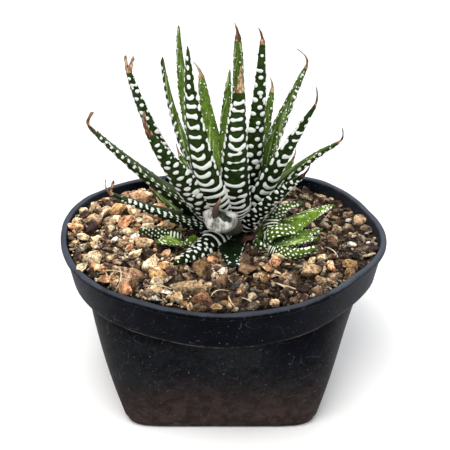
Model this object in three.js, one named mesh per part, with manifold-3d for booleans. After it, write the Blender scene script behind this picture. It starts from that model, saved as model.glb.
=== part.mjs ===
// A potted haworthia: a rosette of thick keeled leaves with raised white bands,
// two offsets beside it, and a bed of small stones in a shallow nursery pot.
// Millimetres, +Z up. The origin is the centre of the pot's underside and the front faces -Y.
import * as THREE from 'three';
import { mergeVertices } from 'three/addons/utils/BufferGeometryUtils.js';
import Module from 'manifold-3d';

const wasm = await Module();
wasm.setup();

const { clamp, degToRad, lerp, smoothstep } = THREE.MathUtils;

// Clearance between pieces that touch, and the wider one round a leaf, whose room
// is cut in fewer rows than the leaf has
const GAP = 0.3;
const LEAF_GAP = 0.4;
const CLEARANCE_ROWS = 6;

// Pot: half widths are measured along X, before the rim's squeeze
const RIM_HEIGHT = 58.7;
const RIM_HALF = 52.5;
const LIP_WIDTH = 1.9;
const LIP_HEIGHT = 2.2;
const LIP_OVERHANG = 1;
const LIP_BEVEL = 0.5;
const BAND_HEIGHT = 14;
const BAND_FOOT_HALF = 49.3;
const BAND_CHAMFER = [0.3, 0.8];
const BODY_TOP_HALF = 45.9;
const BASE_HALF = 33.6;
const BASE_FILLET = 1.6;
const FILLET_STEP = 0.3 * BASE_FILLET;
const WALL = 1.2;
const FLOOR = 1.6;
const BODY_HEIGHT = RIM_HEIGHT - BAND_HEIGHT;
const POT_SIDES = 36;
const BODY_ROWS = 4;

// The plan is round at the rim and a rounded square at the foot
const RIM_SQUARENESS = 2.2;
const FOOT_SQUARENESS = 8.4;

// How the thin rim is squeezed out of round: cosine and sine share of each wave,
// then the centre, half spread and depth of each push in the wall, in degrees
const RIM_WAVES = [[0.009, 0.011], [0.055, -0.004], [-0.019, 0.014], [-0.013, -0.01]];
const RIM_PUSHES = [[-4, 13, 0.05], [-38, 15, -0.057], [-90, 15, 0.062]];

// Drain holes in the pot's floor
const DRAIN_RADIUS = 3.2;
const DRAIN_SPREAD = 21;
const DRAIN_SIDES = 8;

// Soil: its height at the middle, its fall to the back and to the right, and the dip at the crown
const SOIL_HEIGHT = 55.4;
const SOIL_HALF = 49.3;
const SOIL_SIDE_GAP = 1.2;
const SOIL_FALL_BACK = 0.03;
const SOIL_FALL_RIGHT = 0.012;
const CROWN_DIP = 1.4;
const CROWN_DIP_RADIUS = 16;
const SOIL_ROUGHNESS = 0.7;
const SOIL_RINGS = 6;

// Stones lying on the soil, by half their length. Most are small: the size is drawn to a
// power. Each is a block stretched and with its corners moved within a range
const STONE_COUNT = 78;
const STONE_MIN = 2.8;
const STONE_MAX = 5.2;
const STONE_TRIES = 6000;
const STONE_SPACING = 0.92;
const STONE_SINK = -0.05;
const STONE_FLATNESS = 0.6;
const STONE_BLOCK = 1.5;
const STONE_SIZE_POWER = 1.6;
const STONE_STRETCH = [0.85, 1.2];
const STONE_CORNERS = [0.75, 1.15];
const STONE_EDGE_ROOM = 0.9;
const STONE_CROWN_ROOM = 12;

// Leaf form
const ROOT_RADIUS = 3;
const ROOT_NARROWING = 0.62;
const BELLY_AT = 0.22;
const WIDTH_TAPER = 1.6;
const THICKNESS_TAPER = 1.3;
const TIP_THICKNESS = 1.1;
const THREAD = 0.75;
const THREAD_ROWS = 2;
const BAND_PITCH = 5;
const BAND_RAISE = 0.5;
const BANDED_FROM = 0.05;
const BANDED_TO = 0.94;

// The corners of a leaf's section, from the keel round to the other flank: share of the
// half width and of the thickness, share of a band's height, and how the leaf's room
// grows there, across and under, by its clearance
const SECTION = [
  [0, 0.8, 1, 0, 1],
  [0.68, 0.52, 1, 1, 1],
  [1, 0, 0.25, 2, -0.5],
  [0, -0.2, 0, 0, -1],
  [-1, 0, 0.25, -2, -0.5],
  [-0.68, 0.52, 1, -1, 1],
];

// Crown: where the rosette's short stem stands, and the stem itself
const CROWN = new THREE.Vector3(5, 4, 0);
const STEM_FOOT = 44;
const STEM_TOP = 67;
const STEM_FOOT_RADIUS = 4.6;
const STEM_TOP_RADIUS = 1;
const STEM_SIDES = 12;

// Rosette leaves, innermost first. Each row: azimuth in degrees from +X, reach from the
// crown, height of the green tip, height of the root, bow, sway, width, thickness, width of
// the green tip, roll in degrees, and where the dried thread ends, from the green tip
const LEAVES = {
  leaf_01: [60, 1, 125, 65, 0.5, 0.5, 6.4, 3.4, 2.6, 0, [-1.2, 0, 5]],
  leaf_02: [96, 19.5, 107.5, 63.5, 2.5, 1.5, 7.4, 3.4, 0.9, 0, [0.2, 0, 1.5]],
  leaf_03: [-20, 8.5, 125, 64.5, 1, 0.5, 8.4, 4.2, 1.9, -40, [-1.4, 0, 4.4]],
  leaf_04: [120, 23.5, 106, 64, 2, 0, 8.4, 3.8, 2.4, 0, [-3, 0, 5.4]],
  leaf_05: [-88, 22, 116, 62.5, 3.5, -1, 10.2, 5, 2.8, 0, [0.3, 0, 7.5]],
  leaf_06: [-127, 24, 127, 62, 8, 2.5, 11.4, 5.2, 0.9, 22, [-0.3, 0, 1.5]],
  leaf_07: [126, 33, 121, 62.5, 6.5, 1.5, 8.8, 4, 0.9, 0, [-0.2, 0, 1.2]],
  leaf_08: [15, 23.5, 114, 62, -1, 0, 9.4, 4.2, 1.2, 18, [-3.4, 0, 6]],
  leaf_09: [55, 22, 102, 62, 2, 0, 7.2, 3.4, 1.8, 0, [-1, 0, 4.6]],
  leaf_10: [157, 26, 115, 61, 3.5, 1.5, 7, 3.6, 0.9, 0, [-0.2, 0, 1.2]],
  leaf_11: [-30, 27.5, 107.5, 61, -0.5, 0, 10.6, 4.8, 1.3, -28, [0.3, 0, 6.8]],
  leaf_12: [-158, 35.5, 119.5, 60, 4, -0.5, 11.4, 5, 3, 16, [-0.8, 0, 4.4]],
  leaf_13: [-136, 36.8, 103.8, 60, 1.6, 0, 13.4, 5.4, 2.2, 34, [-1, 0, 6.8]],
  leaf_14: [-8, 33.5, 92, 59.5, -3, 0.5, 9.4, 4.8, 1.1, 0, [1, 0, 5.2]],
  leaf_15: [88, 34, 80, 60, 2, 0, 10, 4.4, 1.2, 0, [0, 1, 4]],
  leaf_16: [-172, 47, 97.7, 59.4, 1.6, 0, 12, 5.8, 2.4, 2, [1.2, 0, 5.4]],
  leaf_17: [-38, 27, 86, 58.5, -1, 0, 9.4, 4.8, 1.6, -20, [2.2, 0, 4.2]],
  leaf_18: [-103, 23.5, 75, 59.5, 0, 0, 8.6, 4.4, 10.8, 0, [0, -1.6, 1]],
  leaf_19: [-160, 43, 78.5, 58.5, 1, 0, 10.6, 5, 1.4, 0, [-1.4, 0, 5]],
  leaf_20: [52, 35, 72, 58.5, 2.5, 0, 10, 4.4, 1.2, 0, [1, 1, 3.5]],
  leaf_21: [124, 37, 73, 58.5, 3, 0, 10.4, 4.4, 1.2, 0, [-1, 1, 3.5]],
  leaf_22: [-124, 35.5, 60.2, 58.4, 1, -0.5, 9.6, 3.8, 1, 165, [-0.4, -0.4, 0.4]],
  leaf_23: [-92, 29.5, 60, 57.8, 0.5, -1.2, 9.8, 3.8, 3.6, 0, [0.4, -1, 0.2]],
  leaf_24: [160, 31, 67, 58, 2, 0, 9.6, 4.2, 1.2, 0, [-1, 0, 3]],
};

// The one leaf that has faded and lost its bands: its end is blunt, with a thorn on it
const FADED_LEAF = 'leaf_18';
const FADED_TIP_THICKNESS = 7.2;
const FADED_THORN_FOOT = new THREE.Vector3(-2, -19.4, 73.8);
const FADED_THORN_TIP = new THREE.Vector3(-0.8, -19, 80.6);
const FADED_THORN_RADIUS = 1;
const FADED_THORN_SIDES = 6;

// Offsets: where each stands and its leaves, in rows like those above
const OFFSETS = {
  offset_right: {
    foot: new THREE.Vector3(16, -4, 0),
    leaves: [
      [150, 4.5, 62.5, 57, 0.5, 0, 6.6, 3, 0.8, 0],
      [36, 14.5, 66.4, 58, -3, 2, 8.6, 3.6, 0.8, 165],
      [20, 24, 66.4, 57.5, -1, 0, 8.8, 3.2, 0.8, 20],
      [-6, 18, 62.6, 57, 0.5, 0, 8, 3.4, 0.8, 10],
      [-23, 17.3, 62, 57, 0.5, 0, 8.6, 3.6, 0.8, 0],
      [-33, 18.5, 60.6, 56, 1, -4.2, 9.4, 4.4, 0.8, -60],
      [-20, 9.5, 62.8, 57, -2.4, -1, 9.4, 4, 2.6, -170],
      [-128, 6, 60, 56.6, 1, 0, 8, 3.6, 1.6, 0],
      [88, 8, 60.5, 57, 0.5, 0, 6.6, 3, 0.8, 0],
    ],
  },
  offset_left: {
    foot: new THREE.Vector3(-11.5, -3, 0),
    leaves: [
      [-170, 5.5, 60, 57, 0.5, 0, 5.6, 2.8, 0.8, 0],
      [-142, 12, 60, 57.2, -0.5, 0, 9.6, 3.2, 0.8, -10],
      [173, 16.5, 59.6, 57.4, 0, 0, 9.6, 4.2, 2.4, 60],
      [-70, 6, 61.4, 57, 1, 0, 7.4, 4, 2.4, 0],
      [-176, 7.5, 60.8, 57.5, 0.5, 0, 7.4, 3, 0.8, -20],
    ],
  },
};
const OFFSET_ROOT_RADIUS = 1.2;
const OFFSET_BAND_PITCH = 5;
const OFFSET_BAND_RAISE = 0.3;
const OFFSET_STEM_RADIUS = 2.6;
const OFFSET_STEM_FOOT = 48;
const OFFSET_STEM_TOP = 58.5;

const COLOURS = {
  pot: ['#1c1f24', 0.42],
  soil: ['#8a6a4a', 0.95],
  stem: ['#5b4636', 0.9],
  leaf: ['#33502a', 0.5],
  faded: ['#b7b8ac', 0.7],
  offset: ['#6f9a45', 0.5],
};

// Repeatable random numbers from 0 to 1
function seededRandom(seed) {
  let state = seed;
  return () => {
    state = (state * 1664525 + 1013904223) % 4294967296;
    return state / 4294967296;
  };
}

// Joins a geometry's shared vertices and drops the faces that collapse
function weld(geometry) {
  geometry.deleteAttribute('normal');
  geometry.deleteAttribute('uv');
  const welded = mergeVertices(geometry);
  const source = welded.index.array;
  const kept = [];
  for (let i = 0; i < source.length; i += 3) {
    const [a, b, c] = source.slice(i, i + 3);
    if (a !== b && b !== c && c !== a) kept.push(a, b, c);
  }
  welded.setIndex(kept);
  return welded;
}

// A solid of a welded closed geometry, ready to be joined and cut
function toSolid(welded) {
  const mesh = new wasm.Mesh({
    numProp: 3,
    vertProperties: new Float32Array(welded.attributes.position.array),
    triVerts: new Uint32Array(welded.index.array),
  });
  return new wasm.Manifold(mesh);
}

// The geometry of a solid
function toGeometry(solid) {
  const mesh = solid.getMesh();
  const geometry = new THREE.BufferGeometry();
  geometry.setAttribute('position', new THREE.BufferAttribute(mesh.vertProperties, 3));
  geometry.setIndex(new THREE.BufferAttribute(mesh.triVerts, 1));
  geometry.computeVertexNormals();
  return geometry;
}

// Moves every vertex of a welded geometry to the place that a function gives
function reshape(welded, place) {
  const positions = welded.attributes.position;
  const point = new THREE.Vector3();
  for (let i = 0; i < positions.count; i += 1) {
    place(point.fromBufferAttribute(positions, i));
    positions.setXYZ(i, point.x, point.y, point.z);
  }
  return welded;
}

// The largest body of a solid: what a cut leaves loose is dropped
function largestBody(solid) {
  return solid.decompose().reduce((best, body) => (body.volume() > best.volume() ? body : best));
}

// The pot's plan at a height, as a factor on its half width
function planFactor(angle, height) {
  const drop = clamp(1 - height / BODY_HEIGHT, 0, 1);
  const power = lerp(RIM_SQUARENESS, FOOT_SQUARENESS, drop);
  const across = Math.abs(Math.cos(angle)) ** power;
  const along = Math.abs(Math.sin(angle)) ** power;
  let squeeze = 0;
  RIM_WAVES.forEach(([cosine, sine], i) => {
    squeeze += cosine * Math.cos((i + 1) * angle) + sine * Math.sin((i + 1) * angle);
  });
  for (const [centre, spread, depth] of RIM_PUSHES) {
    const turn = Math.atan2(Math.sin(angle - degToRad(centre)), Math.cos(angle - degToRad(centre)));
    squeeze += depth * Math.exp(-0.5 * (turn / degToRad(spread)) ** 2);
  }
  return (1 + (1 - drop) * squeeze) / (across + along) ** (1 / power);
}

// Half width of the pot's body at a height, outside
function bodyHalf(height) {
  return lerp(BASE_HALF, BODY_TOP_HALF, height / BODY_HEIGHT);
}

// A turned profile, with +Z up, pressed into the pot's plan
function turnedInPlan(profile) {
  const points = profile.map(([radius, height]) => new THREE.Vector2(radius, height));
  const turned = weld(new THREE.LatheGeometry(points, POT_SIDES));
  return reshape(turned, (point) => {
    const radius = Math.hypot(point.x, point.z);
    const angle = Math.atan2(-point.z, point.x);
    const height = point.y;
    const reach = radius * planFactor(angle, height);
    point.set(reach * Math.cos(angle), reach * Math.sin(angle), height);
  });
}

// Rows up the pot's body, from just above the fillet to the band
function bodyRows(inset, foot, top) {
  return Array.from({ length: BODY_ROWS + 1 }, (unused, i) => {
    const height = lerp(foot, top, i / BODY_ROWS);
    return [bodyHalf(height) - inset, height];
  });
}

function potSolid() {
  const bandTop = RIM_HEIGHT - LIP_HEIGHT;
  const bandTopHalf = RIM_HALF - LIP_OVERHANG;
  const innerHalf = RIM_HALF - LIP_WIDTH;
  const profile = [
    [0, 0],
    [BASE_HALF - BASE_FILLET, 0],
    [BASE_HALF - FILLET_STEP, FILLET_STEP],
    ...bodyRows(0, BASE_FILLET, BODY_HEIGHT),
    [BAND_FOOT_HALF, BODY_HEIGHT],
    [BAND_FOOT_HALF + BAND_CHAMFER[0], BODY_HEIGHT + BAND_CHAMFER[1]],
    [bandTopHalf, bandTop],
    [RIM_HALF, bandTop + LIP_BEVEL],
    [RIM_HALF, RIM_HEIGHT - LIP_BEVEL],
    [RIM_HALF - LIP_BEVEL, RIM_HEIGHT],
    [innerHalf + LIP_BEVEL, RIM_HEIGHT],
    [innerHalf, RIM_HEIGHT - LIP_BEVEL],
    [BAND_FOOT_HALF - WALL, BODY_HEIGHT + WALL],
    ...bodyRows(WALL, FLOOR, BODY_HEIGHT + WALL).reverse(),
    [0, FLOOR],
  ];
  let pot = toSolid(turnedInPlan(profile));
  for (const [x, y] of [[-1, -1], [1, -1], [1, 1], [-1, 1]]) {
    const drill = new THREE.CylinderGeometry(DRAIN_RADIUS, DRAIN_RADIUS, 4 * FLOOR, DRAIN_SIDES);
    drill.rotateX(Math.PI / 2);
    drill.translate(x * DRAIN_SPREAD, y * DRAIN_SPREAD, 0);
    pot = pot.subtract(toSolid(weld(drill)));
  }
  return pot;
}

// Height of the soil's surface
function soilTop(x, y) {
  const fromCrown = Math.hypot(x - CROWN.x, y - CROWN.y);
  const dip = CROWN_DIP * (1 - smoothstep(fromCrown, 0, CROWN_DIP_RADIUS));
  return SOIL_HEIGHT - SOIL_FALL_BACK * y - SOIL_FALL_RIGHT * x - dip;
}

// The soil fills the pot from the floor to a rough surface below the lip
function soilSolid(random) {
  const ledge = BODY_HEIGHT + WALL;
  const sides = bodyRows(WALL + SOIL_SIDE_GAP, FLOOR, ledge);
  sides[0][1] += GAP;
  const profile = [
    [0, FLOOR + GAP],
    ...sides,
    [bodyHalf(ledge) - WALL - SOIL_SIDE_GAP, ledge + GAP],
    [BAND_FOOT_HALF - WALL - GAP, ledge + GAP],
  ];
  for (let ring = SOIL_RINGS; ring >= 0; ring -= 1) {
    profile.push([(ring / SOIL_RINGS) * SOIL_HALF, RIM_HEIGHT]);
  }
  const soil = reshape(turnedInPlan(profile), (point) => {
    if (point.z < RIM_HEIGHT) return;
    const atMiddle = Math.hypot(point.x, point.y) < 1;
    point.z = soilTop(point.x, point.y) + (atMiddle ? 0 : SOIL_ROUGHNESS * (2 * random() - 1));
  });
  return toSolid(soil);
}

// The space inside the pot's band, clear of its wall
function bandRoom() {
  const ledge = BODY_HEIGHT + WALL;
  const top = RIM_HEIGHT + STONE_MAX;
  const profile = [
    [0, ledge - STONE_MAX],
    [bodyHalf(ledge) - WALL - GAP, ledge - STONE_MAX],
    [BAND_FOOT_HALF - WALL - GAP, ledge + GAP],
    [RIM_HALF - LIP_WIDTH - GAP, RIM_HEIGHT - LIP_BEVEL],
    [RIM_HALF - LIP_WIDTH - GAP, top],
    [0, top],
  ];
  return toSolid(turnedInPlan(profile));
}

// One angular stone: a squashed block with uneven corners
function stoneSolid(random, x, y, size) {
  const stone = weld(new THREE.BoxGeometry(STONE_BLOCK, STONE_BLOCK, STONE_BLOCK));
  const stretch = lerp(...STONE_STRETCH, random());
  const turn = random() * Math.PI;
  reshape(stone, (point) => point.multiplyScalar(size * lerp(...STONE_CORNERS, random())));
  stone.rotateX(random() * Math.PI);
  stone.rotateY(random() * Math.PI);
  stone.scale(stretch, 1 / stretch, STONE_FLATNESS);
  stone.rotateZ(turn);
  stone.translate(x, y, soilTop(x, y) + STONE_SINK * size);
  return toSolid(stone);
}

// Stones thrown at random over the bed, none of them over another or under the crown
function bedOfStones(random) {
  const placed = [];
  for (let tries = 0; tries < STONE_TRIES && placed.length < STONE_COUNT; tries += 1) {
    const angle = random() * 2 * Math.PI;
    const share = Math.sqrt(random());
    const size = lerp(STONE_MIN, STONE_MAX, random() ** STONE_SIZE_POWER);
    const edge = SOIL_HALF * planFactor(angle, RIM_HEIGHT) - STONE_EDGE_ROOM * size;
    const x = share * edge * Math.cos(angle);
    const y = share * edge * Math.sin(angle);
    const free = placed.every((stone) => {
      return Math.hypot(stone.x - x, stone.y - y) > STONE_SPACING * (stone.size + size);
    });
    const clear = Math.hypot(x - CROWN.x, y - CROWN.y) > STONE_CROWN_ROOM;
    if (free && clear) placed.push({ x, y, size });
  }
  return placed.map(({ x, y, size }) => stoneSolid(random, x, y, size));
}

// A leaf's centre line, and the thread of its dried tip
function leafRoute(leaf) {
  const angle = degToRad(leaf.azimuth);
  const outward = new THREE.Vector3(Math.cos(angle), Math.sin(angle), 0);
  const side = new THREE.Vector3(-Math.sin(angle), Math.cos(angle), 0);
  const root = leaf.foot.clone().addScaledVector(outward, leaf.rootRadius).setZ(leaf.rootHeight);
  const tip = leaf.foot.clone().addScaledVector(outward, leaf.reach).setZ(leaf.tipHeight);
  const under = side.clone().cross(tip.clone().sub(root).normalize());
  const middle = root.clone().lerp(tip, 0.5);
  middle.addScaledVector(under, 2 * leaf.bow).addScaledVector(side, 2 * leaf.sway);
  const blade = new THREE.QuadraticBezierCurve3(root, middle, tip);
  const end = tip.clone().add(new THREE.Vector3(...leaf.thread));
  const reach = tip.distanceTo(end);
  const bend = tip.clone().addScaledVector(blade.getTangent(1), reach / 2);
  return { side, blade, thread: new THREE.QuadraticBezierCurve3(tip, bend, end) };
}

// Half width and thickness of a leaf at a share of its length, without its bands
function leafGirth(leaf, share) {
  const narrowing = lerp(ROOT_NARROWING, 1, smoothstep(share, 0, BELLY_AT));
  return {
    half: (lerp(leaf.width, leaf.tipWidth, share ** WIDTH_TAPER) / 2) * narrowing,
    thick: lerp(leaf.thickness, leaf.tipThickness, share ** THICKNESS_TAPER) * narrowing,
  };
}

// A leaf as a cylinder bent along its route, each second row raised as a band.
// With a clearance it is the room that the leaf needs, in fewer rows
function leafSolid(leaf, clearance = 0) {
  const { side, blade, thread } = leafRoute(leaf);
  const bands = Math.round(blade.getLength() / leaf.pitch);
  const bladeRows = clearance > 0 ? CLEARANCE_ROWS : 2 * bands;
  const rows = bladeRows + leaf.threadRows;
  const blank = weld(new THREE.CylinderGeometry(1, 1, rows, SECTION.length, rows));
  const solid = reshape(blank, (point) => {
    const row = Math.round(point.y + rows / 2);
    const corner = Math.round((Math.atan2(point.x, point.z) / (2 * Math.PI)) * SECTION.length);
    const [across, out, raised, roomAcross, roomOut] = SECTION[(corner + SECTION.length) % SECTION.length];
    const onAxis = Math.hypot(point.x, point.z) < 0.5;
    const inThread = row > bladeRows;
    const share = inThread ? (row - bladeRows) / leaf.threadRows : row / bladeRows;
    const curve = inThread ? thread : blade;
    const tangent = curve.getTangentAt(share);
    const spread = side.clone().applyAxisAngle(tangent, degToRad(leaf.roll));
    const under = spread.clone().cross(tangent).normalize();
    let { half, thick } = leafGirth(leaf, inThread ? 1 : share);
    let raise = 0;
    if (inThread) {
      half = lerp(half, THREAD / 2, share);
      thick = lerp(thick, THREAD, share);
    } else if (clearance > 0 || (share > BANDED_FROM && share < BANDED_TO && row % 2 === 1)) {
      raise = leaf.raise * raised;
    }
    point.copy(curve.getPointAt(share));
    if (row === rows) point.addScaledVector(tangent, clearance);
    if (row === 0) point.addScaledVector(tangent, -clearance);
    if (onAxis) return;
    point.addScaledVector(spread, across * (half + raise) + roomAcross * clearance);
    point.addScaledVector(under, out * thick + Math.sign(out) * raise + roomOut * clearance);
  });
  return toSolid(solid);
}

function namedLeaf(name, row) {
  const [azimuth, reach, tipHeight, rootHeight, bow, sway, width, thickness, tipWidth, roll, thread] = row;
  const raise = name === FADED_LEAF ? 0 : BAND_RAISE;
  const tipThickness = name === FADED_LEAF ? FADED_TIP_THICKNESS : TIP_THICKNESS;
  const form = { width, thickness, tipWidth, tipThickness, roll, thread, raise, pitch: BAND_PITCH };
  const place = { azimuth, reach, tipHeight, rootHeight, bow, sway };
  return { ...form, ...place, foot: CROWN, rootRadius: ROOT_RADIUS, threadRows: THREAD_ROWS };
}

function offsetLeaf(foot, row) {
  const [azimuth, reach, tipHeight, rootHeight, bow, sway, width, thickness, tipWidth, roll] = row;
  const form = { width, thickness, tipWidth, roll, raise: OFFSET_BAND_RAISE, pitch: OFFSET_BAND_PITCH };
  const place = { azimuth, reach, tipHeight, rootHeight, bow, sway, tipThickness: TIP_THICKNESS };
  return { ...form, ...place, foot, rootRadius: OFFSET_ROOT_RADIUS, threadRows: 1, thread: [0, 0, 0.6] };
}

// The thorn on the faded leaf's end
function thornSolid() {
  const length = FADED_THORN_FOOT.distanceTo(FADED_THORN_TIP);
  const thorn = new THREE.CylinderGeometry(THREAD / 2, FADED_THORN_RADIUS, length, FADED_THORN_SIDES);
  const up = new THREE.Vector3(0, 1, 0);
  const way = FADED_THORN_TIP.clone().sub(FADED_THORN_FOOT).normalize();
  thorn.applyQuaternion(new THREE.Quaternion().setFromUnitVectors(up, way));
  thorn.translate(...FADED_THORN_FOOT.clone().lerp(FADED_THORN_TIP, 0.5).toArray());
  return toSolid(weld(thorn));
}

// A short upright stem, tapered, with room round it when a clearance is given
function stemSolid(foot, footRadius, topRadius, low, high, clearance = 0) {
  const height = high - low + 2 * clearance;
  const stem = new THREE.CylinderGeometry(topRadius + clearance, footRadius + clearance, height, STEM_SIDES);
  stem.rotateX(Math.PI / 2);
  stem.translate(foot.x, foot.y, (low + high) / 2);
  return toSolid(weld(stem));
}

const plant = new THREE.Group();

function addPiece(name, solid, look) {
  const [color, roughness] = COLOURS[look];
  const material = new THREE.MeshStandardMaterial({ color, roughness, metalness: 0, flatShading: true });
  const mesh = new THREE.Mesh(toGeometry(solid), material);
  mesh.name = name;
  plant.add(mesh);
}

const stemSizes = [CROWN, STEM_FOOT_RADIUS, STEM_TOP_RADIUS, STEM_FOOT, STEM_TOP];
addPiece('pot', potSolid(), 'pot');
addPiece('stem', stemSolid(...stemSizes), 'stem');

// Each leaf is cut clear of the stem and of the leaves inside it
let taken = stemSolid(...stemSizes, GAP);
for (const [name, row] of Object.entries(LEAVES)) {
  const leaf = namedLeaf(name, row);
  const isFaded = name === FADED_LEAF;
  const whole = isFaded ? leafSolid(leaf).add(thornSolid()) : leafSolid(leaf);
  addPiece(name, largestBody(whole.subtract(taken)), isFaded ? 'faded' : 'leaf');
  taken = taken.add(leafSolid(leaf, LEAF_GAP));
}

// Each offset is one body: its leaves grow together on a short stem of its own
for (const [name, { foot, leaves }] of Object.entries(OFFSETS)) {
  const sizes = [foot, OFFSET_STEM_RADIUS, OFFSET_STEM_RADIUS, OFFSET_STEM_FOOT, OFFSET_STEM_TOP];
  let offset = stemSolid(...sizes);
  let room = stemSolid(...sizes, GAP);
  for (const row of leaves) {
    const leaf = offsetLeaf(foot, row);
    offset = offset.add(leafSolid(leaf));
    room = room.add(leafSolid(leaf, LEAF_GAP));
  }
  addPiece(name, largestBody(offset.subtract(taken)), 'offset');
  taken = taken.add(room);
}

// Stones are joined to the soil, and both are cut clear of all that stands in them
const random = seededRandom(20);
let bed = soilSolid(random);
const stones = bedOfStones(random).reduce((pile, stone) => pile.add(stone));
bed = bed.add(stones.intersect(bandRoom()));
addPiece('soil', largestBody(bed.subtract(taken)), 'soil');

export default plant;
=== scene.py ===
"""A potted haworthia: banded leaves, two offsets and a bed of small stones in a shallow pot."""

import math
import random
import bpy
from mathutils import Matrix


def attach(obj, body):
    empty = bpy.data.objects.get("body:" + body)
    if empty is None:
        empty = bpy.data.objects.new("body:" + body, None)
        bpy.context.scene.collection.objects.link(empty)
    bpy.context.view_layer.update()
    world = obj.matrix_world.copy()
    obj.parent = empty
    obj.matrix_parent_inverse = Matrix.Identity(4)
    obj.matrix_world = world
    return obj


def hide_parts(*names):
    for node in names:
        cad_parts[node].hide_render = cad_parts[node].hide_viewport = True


bl_info = {
    "name": "Potted haworthia",
    "version": (1, 0, 0),
    "blender": (4, 5, 0),
    "location": "3D View > Sidebar > Haworthia",
    "description": "Dresses the potted haworthia: leaves, offsets, stones, soil and pot",
    "category": "Object",
}

from dataclasses import dataclass, replace

import bmesh
import bpy
import numpy as np
from bpy.props import FloatProperty, FloatVectorProperty, IntProperty, PointerProperty
from mathutils import Euler, Matrix, Vector, noise

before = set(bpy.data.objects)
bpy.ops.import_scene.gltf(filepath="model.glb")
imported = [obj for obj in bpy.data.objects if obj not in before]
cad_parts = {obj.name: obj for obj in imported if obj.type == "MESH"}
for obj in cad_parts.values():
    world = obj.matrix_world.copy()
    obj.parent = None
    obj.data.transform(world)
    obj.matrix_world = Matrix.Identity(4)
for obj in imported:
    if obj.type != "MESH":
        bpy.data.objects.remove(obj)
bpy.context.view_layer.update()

# Shapes are worked out in millimetres and written to the meshes in metres
MM = 0.001

# Pot: half widths along X before the rim's squeeze, as in the solid model
RIM_HEIGHT = 58.7
RIM_HALF = 52.5
LIP_WIDTH = 1.9
LIP_HEIGHT = 2.2
LIP_OVERHANG = 1.0
LIP_ROUNDING = 0.55
BAND_HEIGHT = 14.0
BAND_FOOT_HALF = 49.3
BODY_TOP_HALF = 45.9
BASE_HALF = 33.6
BASE_FILLET = 1.6
WALL = 1.2
FLOOR = 1.6
BODY_HEIGHT = RIM_HEIGHT - BAND_HEIGHT
RIM_SQUARENESS = 2.2
FOOT_SQUARENESS = 8.4
RIM_WAVES = ((0.009, 0.011), (0.055, -0.004), (-0.019, 0.014), (-0.013, -0.01))
RIM_PUSHES = ((-4, 13, 0.05), (-38, 15, -0.057), (-90, 15, 0.062))
DRAIN_RADIUS = 3.2
DRAIN_SPREAD = 21
# The lip's unevenness: waves round the rim, their height and their phase
LIP_RIPPLES = ((9, 0.14, 1), (17, 0.1, 0), (31, 0.06, 2))

# Soil surface
SOIL_HEIGHT = 55.4
SOIL_HALF = 49.3
SOIL_SIDE_GAP = 1.2
SOIL_FALL_BACK = 0.03
SOIL_FALL_RIGHT = 0.012
CROWN_DIP = 1.4
CROWN_DIP_RADIUS = 16
SOIL_SIDES = 200
GAP = 0.3

# Coarse stones, drawn in the order of the solid model's own stones
SOLID_RING_POINTS = 216
STONE_COUNT = 78
STONE_MIN = 2.8
STONE_MAX = 5.2
STONE_TRIES = 6000
STONE_SPACING = 0.92
STONE_EDGE_ROOM = 0.9
STONE_CROWN_ROOM = 12

# Stones of the visual model's bed: they leave the smaller offset in view
BED_OVERHANG = 0.9
BED_CROWN_ROOM = 7
SMALLER_OFFSET = (-15.5, -8.5)
SMALLER_OFFSET_ROOM = 5
TRIES_PER_STONE = 40
STONE_BATCH = 120

# Leaf form
CROWN = (5, 4, 0)
ROOT_RADIUS = 3
ROOT_NARROWING = 0.62
BELLY_AT = 0.22
WIDTH_TAPER = 1.6
THICKNESS_TAPER = 1.3
TIP_THICKNESS = 1.1
KEEL_SHARE = 0.8
INNER_SHARE = 0.2
STEM_FOOT = 44
STEM_TOP = 67
STEM_FOOT_RADIUS = 4.6
STEM_TOP_RADIUS = 1
OFFSET_ROOT_RADIUS = 1.2
ROUTE_SAMPLES = 160
# Mesh steps of the leaves and fibres without marks
FADED_CELL = 0.3
SPINE_CELL = 0.2
SCRAP_CELL = 0.7
STRAW_CELL = 0.3

# Rows of marks on a leaf, and on an offset's leaf
FIRST_ROW = 2.4
OFFSET_FIRST_ROW = 0.8
OFFSET_PITCH = 1.12
STROKE_RADIUS = 0.6
# A share that no leaf reaches: what starts there never does
NOWHERE = 2.0


@dataclass
class Form:
    """A leaf's route and girth, in millimetres and degrees."""

    azimuth: float
    reach: float
    tip_height: float
    root_height: float
    bow: float
    sway: float
    width: float
    thickness: float
    tip_width: float
    roll: float
    thread: tuple = (0, 0, 0.6)
    foot: tuple = CROWN
    root_radius: float = ROOT_RADIUS
    tip_thickness: float = TIP_THICKNESS
    thread_width: float = 0.3
    keel: float = 1.4


@dataclass
class Marks:
    """How a leaf is marked: shares are of its length, strokes of half its outer face."""

    banded_to: float = 0.3
    strokes: tuple = ()
    dry_from: float = NOWHERE
    tone: float = 0.6
    fresh: float = 0.5
    pitch: float = 1.0
    size: float = 1.0
    inner_dots: float = 0.3
    depth: float = 0.5
    tipped: float = NOWHERE
    sparse: bool = False
    front_rows: int = 0


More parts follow.
